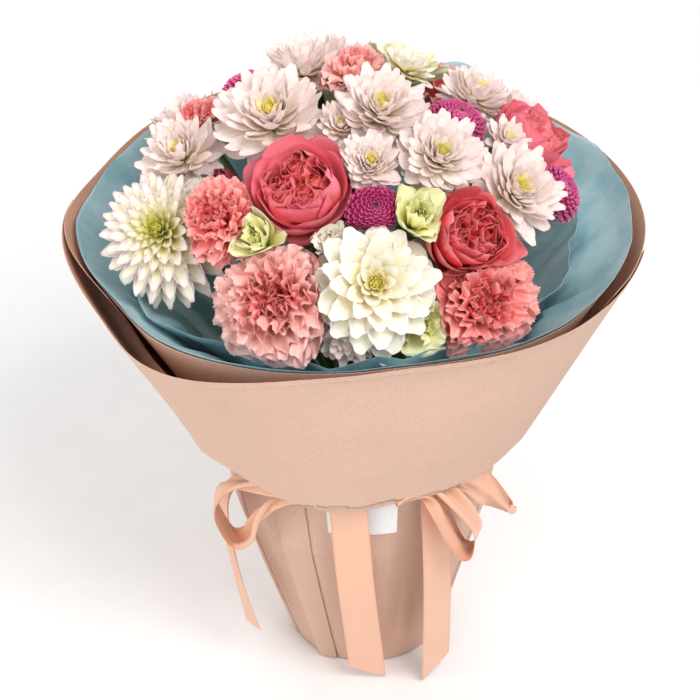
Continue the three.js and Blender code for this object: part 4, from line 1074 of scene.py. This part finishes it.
# ------------------------------------------------------------------ shader maths
class Value:
    """A node's output on which the usual operators add Math nodes."""

    def __init__(self, look, socket):
        self.look = look
        self.socket = socket

    def maths(self, operation, *others):
        return self.look.node("ShaderNodeMath", {"operation": operation}, (self, *others))

    def __add__(self, other):
        return self.maths("ADD", other)

    __radd__ = __add__

    def __sub__(self, other):
        return self.maths("SUBTRACT", other)

    def __mul__(self, other):
        return self.maths("MULTIPLY", other)

    __rmul__ = __mul__

    def __pow__(self, other):
        return self.maths("POWER", other)

    def abs(self):
        return self.maths("ABSOLUTE")

    def sin(self):
        return self.maths("SINE")

    def smooth(self, low, high):
        """0 at low and 1 at high, with an S between them; low may be the greater."""
        settings = {"interpolation_type": "SMOOTHSTEP", "clamp": True}
        if low < high:
            return self.look.node("ShaderNodeMapRange", settings, (self, low, high, 0.0, 1.0))
        return self.look.node("ShaderNodeMapRange", settings, (self, high, low, 1.0, 0.0))


class Look:
    """A material's node tree: one method adds any node, the rest name the usual ones."""

    def __init__(self, name):
        self.material = bpy.data.materials.new(name)
        self.material.use_nodes = True
        self.tree = self.material.node_tree
        self.tree.nodes.clear()

    def node(self, kind, settings=None, inputs=(), output=0):
        """Adds a node, sets its settings, then its sockets by number or name."""
        node = self.tree.nodes.new(kind)
        for key, value in (settings or {}).items():
            if key == "stops":
                self.set_stops(node.color_ramp, value)
            else:
                setattr(node, key, value)
        pairs = inputs.items() if isinstance(inputs, dict) else enumerate(inputs)
        for key, value in pairs:
            if isinstance(value, Value):
                self.tree.links.new(value.socket, node.inputs[key])
            else:
                wide = isinstance(value, tuple) and node.inputs[key].type == "RGBA"
                node.inputs[key].default_value = (*value, 1.0) if wide else value
        return Value(self, node.outputs[output]) if node.outputs else node

    @staticmethod
    def set_stops(ramp, stops):
        while len(ramp.elements) < len(stops):
            ramp.elements.new(0.5)
        for element, (position, colour) in zip(ramp.elements, stops):
            element.position = position
            element.color = (*colour, 1.0)

    def attribute(self, name):
        """The three numbers of a vector attribute."""
        vector = self.node("ShaderNodeAttribute", {"attribute_name": name}, output=1)
        node = self.tree.nodes.new("ShaderNodeSeparateXYZ")
        self.tree.links.new(vector.socket, node.inputs[0])
        return [Value(self, socket) for socket in node.outputs]

    def join(self, x, y, z=0.0):
        return self.node("ShaderNodeCombineXYZ", inputs=(x, y, z))

    def where(self):
        return self.node("ShaderNodeTexCoord", output=3)

    def noise(self, vector, scale, detail=3.0, roughness=0.5):
        return self.node("ShaderNodeTexNoise", inputs={
            "Vector": vector, "Scale": scale, "Detail": detail, "Roughness": roughness})

    def mix(self, factor, one, other, how="MIX"):
        """A colour between two colours."""
        return self.node("ShaderNodeMix", {"data_type": "RGBA", "blend_type": how},
                         {0: factor, 6: one, 7: other}, output=2)

    def shaded(self, colour, amount):
        """A colour made lighter or darker by a number round 1."""
        return self.mix(1.0, colour, self.join(amount, amount, amount), "MULTIPLY")

    def bump(self, height, distance, strength=1.0):
        return self.node("ShaderNodeBump", inputs={
            "Strength": strength, "Distance": distance, "Height": height})

    def finish(self, **sockets):
        """The surface: a principled shader with these sockets, underscores for spaces."""
        named = {key.replace("_", " "): value for key, value in sockets.items()}
        surface = self.node("ShaderNodeBsdfPrincipled", inputs=named)
        self.node("ShaderNodeOutputMaterial", inputs=(surface,))
        return self.material


# Each petal finish: the colours of its body, root, tip, edge and heart, how strong the edge's
# colour is, and how far in from the outermost petals the heart's colour begins
PETALS = {
    "blush": ((255, 241, 235), (252, 232, 200), (255, 230, 224), (248, 198, 198),
              (250, 236, 84), 0.5, 0.9),
    "cream": ((255, 247, 226), (246, 222, 120), (255, 252, 243), (250, 238, 228),
              (240, 224, 70), 0.2, 0.88),
    "lilac": ((252, 246, 218), (246, 228, 96), (250, 238, 232), (216, 164, 202),
              (208, 200, 34), 0.8, 0.72),
    "coral": ((252, 150, 146), (238, 90, 94), (254, 176, 168), (255, 206, 198),
              (242, 104, 106), 0.5, 0.4),
    "pink": ((255, 188, 180), (244, 124, 120), (255, 206, 198), (255, 222, 214),
             (244, 132, 128), 0.45, 0.35),
    "rose": ((254, 160, 168), (254, 146, 122), (246, 130, 152), (226, 78, 116),
             (255, 134, 108), 0.6, 0.45),
    "red_rose": ((248, 112, 116), (232, 72, 74), (252, 146, 154), (252, 172, 180),
                 (242, 82, 76), 0.5, 0.5),
    "burgundy": ((134, 40, 58), (108, 40, 46), (158, 64, 78), (168, 80, 92),
                 (116, 30, 46), 0.4, 0.9),
    "magenta": ((226, 86, 154), (160, 30, 90), (240, 132, 182), (246, 168, 204),
                (96, 84, 34), 0.6, 0.95),
    "green": ((250, 246, 192), (228, 228, 132), (252, 248, 208), (253, 248, 214),
              (228, 230, 140), 0.5, 0.6),
}


def petal_look(name):
    """Petal colour by its place on the petal and in the head, with veins along it."""
    *colours, edging, heart_from = PETALS[name]
    body, root, tip, edge, heart = (rgb(*colour) for colour in colours)
    look = Look(name + "_petals")
    along, across, tint = look.attribute("petal")
    row, _, _ = look.attribute("place")
    side = across.abs()
    colour = look.mix(along.smooth(0.05, 0.6), root, body)
    colour = look.mix(along.smooth(0.55, 1.0) * 0.7, colour, tip)
    rim = along.smooth(0.9, 1.0) * 0.8 + side.smooth(0.8, 1.0) * along.smooth(0.65, 0.95) * 0.35
    colour = look.mix(rim * edging, colour, edge)
    colour = look.mix(row.smooth(heart_from, 1.0) * 0.85, colour, heart)
    veins = look.noise(look.join(across * 9.0, along * 1.3, tint * 40.0), 1.0, 3.0)
    mottle = look.noise(look.where(), 60.0, 3.0)
    light = 0.93 + veins * 0.14 + (tint - 0.5) * 0.08 + (mottle - 0.5) * 0.08
    colour = look.shaded(colour, light)
    return look.finish(Base_Color=colour, Roughness=0.52 + veins * 0.12,
                       Normal=look.bump(veins, 0.0006, 0.5), Subsurface_Weight=0.22,
                       Subsurface_Radius=(0.0016, 0.0012, 0.001), Subsurface_Scale=0.6,
                       Specular_IOR_Level=0.25)


def calyx_look():
    look = Look("calyx_green")
    along, across, tint = look.attribute("petal")
    streaks = look.noise(look.join(across * 6.0, along * 2.0, tint * 30.0), 1.0, 3.0)
    colour = look.mix(streaks, rgb(58, 84, 40), rgb(116, 142, 74))
    return look.finish(Base_Color=colour, Roughness=0.55 + streaks * 0.1,
                       Normal=look.bump(streaks, 0.0005, 0.4), Specular_IOR_Level=0.35)


def stem_look():
    look = Look("stem_green")
    along, turn, tint = look.attribute("petal")
    streaks = look.noise(look.join(turn * 7.0, along * 3.0, tint * 30.0), 1.0, 4.0)
    colour = look.mix(streaks, rgb(74, 102, 50), rgb(136, 158, 88))
    colour = look.mix(along.smooth(0.16, 0.0), colour, rgb(150, 160, 110))
    colour = look.mix(along.smooth(0.012, 0.0), colour, rgb(206, 208, 160))
    return look.finish(Base_Color=colour, Roughness=0.42 + streaks * 0.16,
                       Normal=look.bump(streaks, 0.0008, 0.5))


def leaf_look():
    look = Look("leaf_green")
    along, across, _ = look.attribute("petal")
    side = across.abs()
    rib = side.smooth(0.09, 0.0)
    ribs = ((along * 34.0 - side * 9.0).sin() * 0.5 + 0.5) ** 4.0
    mottle = look.noise(look.where(), 120.0, 3.0)
    colour = look.mix(mottle, rgb(28, 54, 26), rgb(62, 92, 44))
    colour = look.mix(ribs * 0.35 + rib * 0.6, colour, rgb(104, 132, 74))
    return look.finish(Base_Color=colour, Roughness=0.4 + mottle * 0.15,
                       Normal=look.bump(rib * 1.0 + ribs * 0.5, 0.001, 0.5))


def paper_look(settings):
    """Embossed paper: staggered grains in the sheet's own flat coordinates, painted darker in their
    hollows and lighter on top as shade and light; the inner face painted darker and warmer as shade.
    """
    look = Look("wrapping_paper")
    x, y, _ = look.attribute("petal")
    inside, _, _ = look.attribute("place")
    pitch = settings.weave * 1000
    rows = (y * (2 * np.pi / pitch)).sin()
    grains = (x * (2 * np.pi / pitch)).sin() * rows
    weave = grains * 0.5 + 0.5
    fibre = look.noise(look.where(), 900.0, 2.0)
    clouds = look.noise(look.where(), 14.0, 4.0)
    # The inner face gets the darker, warmer inside colour: painted shade of the sheet's inside.
    colour = look.mix(inside, tuple(settings.outside), tuple(settings.inside))
    # Painted shade and light of the emboss: the grains' hollows darker and their tops lighter, with
    # cloudy tone and fibres.
    colour = look.shaded(colour, 0.83 + weave * 0.27 + (clouds - 0.5) * 0.08 + (fibre - 0.5) * 0.1)
    relief = weave + fibre * 0.5
    return look.finish(Base_Color=colour, Roughness=0.72 + fibre * 0.12,
                       Normal=look.bump(relief, 0.0006, 1.0), Specular_IOR_Level=0.3,
                       Sheen_Weight=0.08)


def tissue_look(settings):
    """Tissue: faint fibres and cloudy patches, paler along its finest creases."""
    look = Look("tissue_paper")
    x, y, _ = look.attribute("petal")
    flat = look.join(x * 0.001, y * 0.001, 0.0)
    clouds = look.noise(look.where(), 22.0, 5.0, 0.6)
    fibre = look.noise(flat, 700.0, 3.0)
    streaks = look.noise(look.join(x * 0.05, y * 0.012, 0.0), 1.0, 3.0, 0.6)
    crease = (streaks - 0.5).abs().smooth(0.012, 0.0)
    colour = look.mix(clouds.smooth(0.3, 0.7), tuple(settings.deep), tuple(settings.pale))
    colour = look.mix(crease * 0.2, colour, rgb(206, 222, 224))
    colour = look.shaded(colour, 0.95 + (fibre - 0.5) * 0.16)
    return look.finish(Base_Color=colour, Roughness=0.6 + fibre * 0.15,
                       Normal=look.bump(crease * 0.3 + fibre * 0.15, 0.0006, 0.4),
                       Specular_IOR_Level=0.35, Sheen_Weight=0.1)


def satin_look(settings):
    """Satin: fine ribs across the ribbon and a firmer woven edge."""
    look = Look("satin_ribbon")
    x, y, _ = look.attribute("petal")
    ribs = (y * (2 * np.pi / 0.9)).sin() * 0.5 + 0.5
    edge = x.abs().smooth(11.2, 12.0)
    lengthwise = look.noise(look.join(x * 1.6, y * 0.02, 0.0), 1.0, 3.0)
    colour = look.shaded(tuple(settings.colour), 0.93 + lengthwise * 0.1 + ribs * 0.03)
    colour = look.mix(edge * 0.35, colour, rgb(206, 140, 106))
    return look.finish(Base_Color=colour, Roughness=0.36 + lengthwise * 0.1,
                       Normal=look.bump(ribs * 0.5 + edge * 2.0, 0.00012, 0.6), Sheen_Weight=0.25,
                       Specular_IOR_Level=0.45, Anisotropic=0.5)


def card_look():
    look = Look("card_white")
    fibre = look.noise(look.where(), 500.0, 4.0)
    colour = look.mix(fibre, rgb(236, 235, 238), rgb(250, 250, 250))
    return look.finish(Base_Color=colour, Roughness=0.5 + fibre * 0.1,
                       Normal=look.bump(fibre, 0.0001, 0.4))


def twine_look():
    look = Look("twine")
    along, turn, _ = look.attribute("petal")
    hairs = look.noise(look.join(turn * 6.0, along * 240.0, 0.0), 1.0, 3.0)
    colour = look.mix(hairs, rgb(128, 104, 66), rgb(192, 168, 120))
    return look.finish(Base_Color=colour, Roughness=0.85 + hairs * 0.1,
                       Normal=look.bump(hairs, 0.0003, 0.8))


def floor_look():
    look = Look("pale_floor")
    grain = look.noise(look.where(), 30.0, 3.0)
    colour = look.mix(grain, rgb(240, 240, 240), rgb(247, 247, 247))
    return look.finish(Base_Color=colour, Roughness=0.85 + grain * 0.05)


# ------------------------------------------------------------------ settings a user would change
def colour_property(name, description, default):
    return bpy.props.FloatVectorProperty(
        name=name, description=description, default=default, subtype="COLOR", min=0, max=1, size=3)


class BouquetPaperSettings(bpy.types.PropertyGroup):
    """The wrapping paper and the tissue inside it."""

    outside: colour_property("Outside", "Colour of the paper's embossed face", rgb(236, 196, 174))
    # The inner face's colour is a darker, warmer copy of the outside: painted shade of the sheet's
    # inside.
    inside: colour_property("Inside", "Colour of the paper's inner face", rgb(224, 172, 144))
    pale: colour_property("Pale tissue", "Lightest colour of the tissue", rgb(180, 210, 216))
    deep: colour_property("Deep tissue", "Darkest colour of the tissue", rgb(128, 176, 186))
    weave: bpy.props.FloatProperty(
        name="Grain", description="Distance between the embossed grains",
        default=0.0017, min=0.0005, max=0.006, precision=4, unit="LENGTH")


class BouquetRibbonSettings(bpy.types.PropertyGroup):
    """The satin ribbon."""

    colour: colour_property("Ribbon", "Colour of the satin ribbon", rgb(234, 182, 152))


class BouquetStageSettings(bpy.types.PropertyGroup):
    """The camera and the light."""

    distance: bpy.props.FloatProperty(
        name="Camera distance", description="From the camera to the point that it looks at",
        default=1.7, min=0.5, max=10, unit="LENGTH")
    elevation: bpy.props.FloatProperty(
        name="Camera elevation", description="How far the camera looks down",
        default=float(np.radians(36)), min=0, max=1.5, subtype="ANGLE", unit="ROTATION")
    lens: bpy.props.FloatProperty(
        name="Lens", description="Focal length in millimetres", default=131.1, min=20, max=300,
        unit="CAMERA")
    key: bpy.props.FloatProperty(
        name="Key light", description="Power of the large soft light", default=30.0, min=0,
        subtype="POWER")
    ambient: bpy.props.FloatProperty(
        name="Room light", description="Strength of the light from all round", default=0.58, min=0,
        max=5, subtype="FACTOR")


# ------------------------------------------------------------------ operators
class BouquetOperator:
    """What the operators of the heads share: each adds the heads of its kinds."""

    bl_options = {"REGISTER", "UNDO"}
    kinds = ()

    def execute(self, context):
        green = calyx_look()
        heads = [head for head in HEADS if head.kind in self.kinds]
        petals = {colour: petal_look(colour) for colour in sorted({head.colour for head in heads})}
        for head in heads:
            make_bloom(head, [petals[head.colour], green])
        return {"FINISHED"}


class BOUQUET_OT_chrysanthemums(BouquetOperator, bpy.types.Operator):
    """Adds the blush and cream spray chrysanthemums"""

    bl_idname = "bouquet.chrysanthemums"
    bl_label = "Chrysanthemums"
    kinds = ("mum",)


class BOUQUET_OT_dahlias(BouquetOperator, bpy.types.Operator):
    """Adds the dahlias: two with quilled petals and a broad-petalled one in front"""

    bl_idname = "bouquet.dahlias"
    bl_label = "Dahlias"
    kinds = ("dahlia", "dahlia_broad")


class BOUQUET_OT_carnations(BouquetOperator, bpy.types.Operator):
    """Adds the ruffled carnations"""

    bl_idname = "bouquet.carnations"
    bl_label = "Carnations"
    kinds = ("carnation",)


class BOUQUET_OT_roses(BouquetOperator, bpy.types.Operator):
    """Adds the quartered garden roses and the bud"""

    bl_idname = "bouquet.roses"
    bl_label = "Roses"
    kinds = ("rose", "bud")


class BOUQUET_OT_pompons(BouquetOperator, bpy.types.Operator):
    """Adds the magenta pompons of many small cupped florets"""

    bl_idname = "bouquet.pompons"
    bl_label = "Pompons"
    kinds = ("pompon",)


class BOUQUET_OT_lisianthus(BouquetOperator, bpy.types.Operator):
    """Adds the pale green lisianthus"""

    bl_idname = "bouquet.lisianthus"
    bl_label = "Lisianthus"
    kinds = ("lisianthus",)


class BOUQUET_OT_stems(bpy.types.Operator):
    """Adds the bound stems, their leaves and the twine"""

    bl_idname = "bouquet.stems"
    bl_label = "Stems, leaves and twine"

    def execute(self, context):
        make_piece("stems_and_leaves", stem_nodes(), [stem_look(), leaf_look()], ["stems"],
                   sharp=60)
        make_piece("binding_twine", [twine_part()], [twine_look()], ["twine"])
        return {"FINISHED"}


class BOUQUET_OT_tissue(bpy.types.Operator):
    """Adds the two crumpled sheets of tissue"""

    bl_idname = "bouquet.tissue"
    bl_label = "Tissue"

    def execute(self, context):
        look = tissue_look(context.scene.bouquet_paper)
        outer = make_piece("tissue_sheet_outer", [tissue_outer_sheet()], [look], ["tissue_outer"])
        inner = make_piece("tissue_sheet_inner", [tissue_inner_sheet()], [look], ["tissue_inner"])
        return {"FINISHED"}


class BOUQUET_OT_paper(bpy.types.Operator):
    """Adds the sheets of wrapping paper and the blank card"""

    bl_idname = "bouquet.paper"
    bl_label = "Wrapping paper and card"

    def execute(self, context):
        look = paper_look(context.scene.bouquet_paper)
        sheets = (
            ("paper_inner", inner_sheet, "wrap_inner", (1.108, 0.367), 0.235),
            ("paper_back", back_sheet, "wrap_back", (0.771, 0.371), 0.162),
            ("paper_collar", collar_sheet, "wrap_collar", (0.568, 0.159), 0.069),
            ("paper_flap", flap_sheet, "wrap_flap", (0.023, 0.187), 0.0034),
        )
        for name, make, node, flat, area in sheets:
            piece = make_piece(name, [make()], [look], [node])
        make_piece("blank_card", [card_part()], [card_look()], ["card"])
        return {"FINISHED"}


class BOUQUET_OT_ribbon(bpy.types.Operator):
    """Adds the ribbon's band, knot, loops and tails"""

    bl_idname = "bouquet.ribbon"
    bl_label = "Ribbon"

    def execute(self, context):
        look = satin_look(context.scene.bouquet_ribbon)
        band = make_piece("satin_band", [band_part()], [look], ["ribbon_band"])
        make_piece("satin_knot", [knot_part()], [look], ["ribbon_knot"])
        for name, (stations, skew) in RIBBONS.items():
            piece = make_piece(name.replace("ribbon", "satin"), [ribbon_part(stations, skew)],
                               [look], [name])
            length = round(run_length(stations) * 0.001, 3)
            hold = "hung" if "tail" in name else "folded"
        return {"FINISHED"}


class BOUQUET_OT_stage(bpy.types.Operator):
    """Sets the floor, the soft studio light and the camera"""

    bl_idname = "bouquet.stage"
    bl_label = "Stage"

    def execute(self, context):
        settings = context.scene.bouquet_stage
        make_floor()
        make_lights(settings)
        make_camera(settings)
        context.scene.view_settings.view_transform = "Standard"
        return {"FINISHED"}


FLOOR_REACH = 12.0  # metres from the middle to each side, out of the camera's sight


def make_floor():
    mesh = bpy.data.meshes.new("floor")
    size = FLOOR_REACH
    mesh.from_pydata([(-size, -size, 0), (size, -size, 0), (size, size, 0), (-size, size, 0)], [],
                     [(0, 1, 2, 3)])
    mesh.materials.append(floor_look())
    floor = bpy.data.objects.new("floor", mesh)
    bpy.context.scene.collection.objects.link(floor)


# name, place in metres, size in metres, share of the key light's power
LIGHTS = [
    ("key", (0.75, -1.1, 1.9), 1.1, 1.0),
    ("fill", (-1.6, -1.2, 1.0), 1.6, 0.5),
    ("back", (-0.3, 1.5, 1.7), 1.4, 0.45),
]
LIT_AT = (0, -0.01, 0.3)  # metres; what every lamp points at


def make_lights(settings):
    target = Vector(LIT_AT)
    for name, place, size, share in LIGHTS:
        light = bpy.data.lights.new(name, "AREA")
        light.energy = settings.key * share
        light.size = size
        lamp = bpy.data.objects.new(name, light)
        lamp.location = place
        lamp.rotation_euler = (target - Vector(place)).to_track_quat("-Z", "Y").to_euler()
        bpy.context.scene.collection.objects.link(lamp)
    world = bpy.data.worlds.new("studio")
    world.use_nodes = True
    background = world.node_tree.nodes["Background"]
    background.inputs["Color"].default_value = (1, 1, 1, 1)
    background.inputs["Strength"].default_value = settings.ambient
    bpy.context.scene.world = world


LOOK_AT = np.array([-2.6, -15.0, 238.0])  # millimetres; what the camera points at


def make_camera(settings):
    lens = bpy.data.cameras.new("camera")
    lens.lens = settings.lens
    lens.sensor_width = 36
    lens.clip_end = 60
    camera = bpy.data.objects.new("camera", lens)
    target = Vector((LOOK_AT + SHIFT) * 0.001)
    away = Vector((0, -np.cos(settings.elevation), np.sin(settings.elevation)))
    camera.location = target + away * settings.distance
    camera.rotation_euler = (-away).to_track_quat("-Z", "Y").to_euler()
    bpy.context.scene.collection.objects.link(camera)
    bpy.context.scene.camera = camera


STEPS = (
    BOUQUET_OT_stage, BOUQUET_OT_stems, BOUQUET_OT_tissue, BOUQUET_OT_paper, BOUQUET_OT_ribbon,
    BOUQUET_OT_chrysanthemums, BOUQUET_OT_dahlias, BOUQUET_OT_carnations, BOUQUET_OT_roses,
    BOUQUET_OT_pompons, BOUQUET_OT_lisianthus,
)


class VIEW3D_PT_bouquet(bpy.types.Panel):
    """Lists the bouquet's steps in the sidebar."""

    bl_label = "Wrapped Bouquet"
    bl_space_type = "VIEW_3D"
    bl_region_type = "UI"
    bl_category = "Bouquet"

    def draw(self, context):
        for step in STEPS:
            self.layout.operator(step.bl_idname)
        for name in ("bouquet_paper", "bouquet_ribbon", "bouquet_stage"):
            group = getattr(context.scene, name)
            for key in group.__annotations__:
                self.layout.prop(group, key)


SETTINGS = {
    "bouquet_paper": BouquetPaperSettings,
    "bouquet_ribbon": BouquetRibbonSettings,
    "bouquet_stage": BouquetStageSettings,
}
CLASSES = (*SETTINGS.values(), *STEPS, VIEW3D_PT_bouquet)


def register():
    for cls in CLASSES:
        bpy.utils.register_class(cls)
    for name, cls in SETTINGS.items():
        setattr(bpy.types.Scene, name, bpy.props.PointerProperty(type=cls))


def unregister():
    for name in SETTINGS:
        delattr(bpy.types.Scene, name)
    for cls in reversed(CLASSES):
        bpy.utils.unregister_class(cls)


def corners(bounds):
    return [[float(x) for x in corner] for corner in bounds]


def main():
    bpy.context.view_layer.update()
    register()
    for step in STEPS:
        area, name = step.bl_idname.split(".")
        getattr(getattr(bpy.ops, area), name)()
    bpy.context.view_layer.update()


if __name__ == "__main__":
    main()
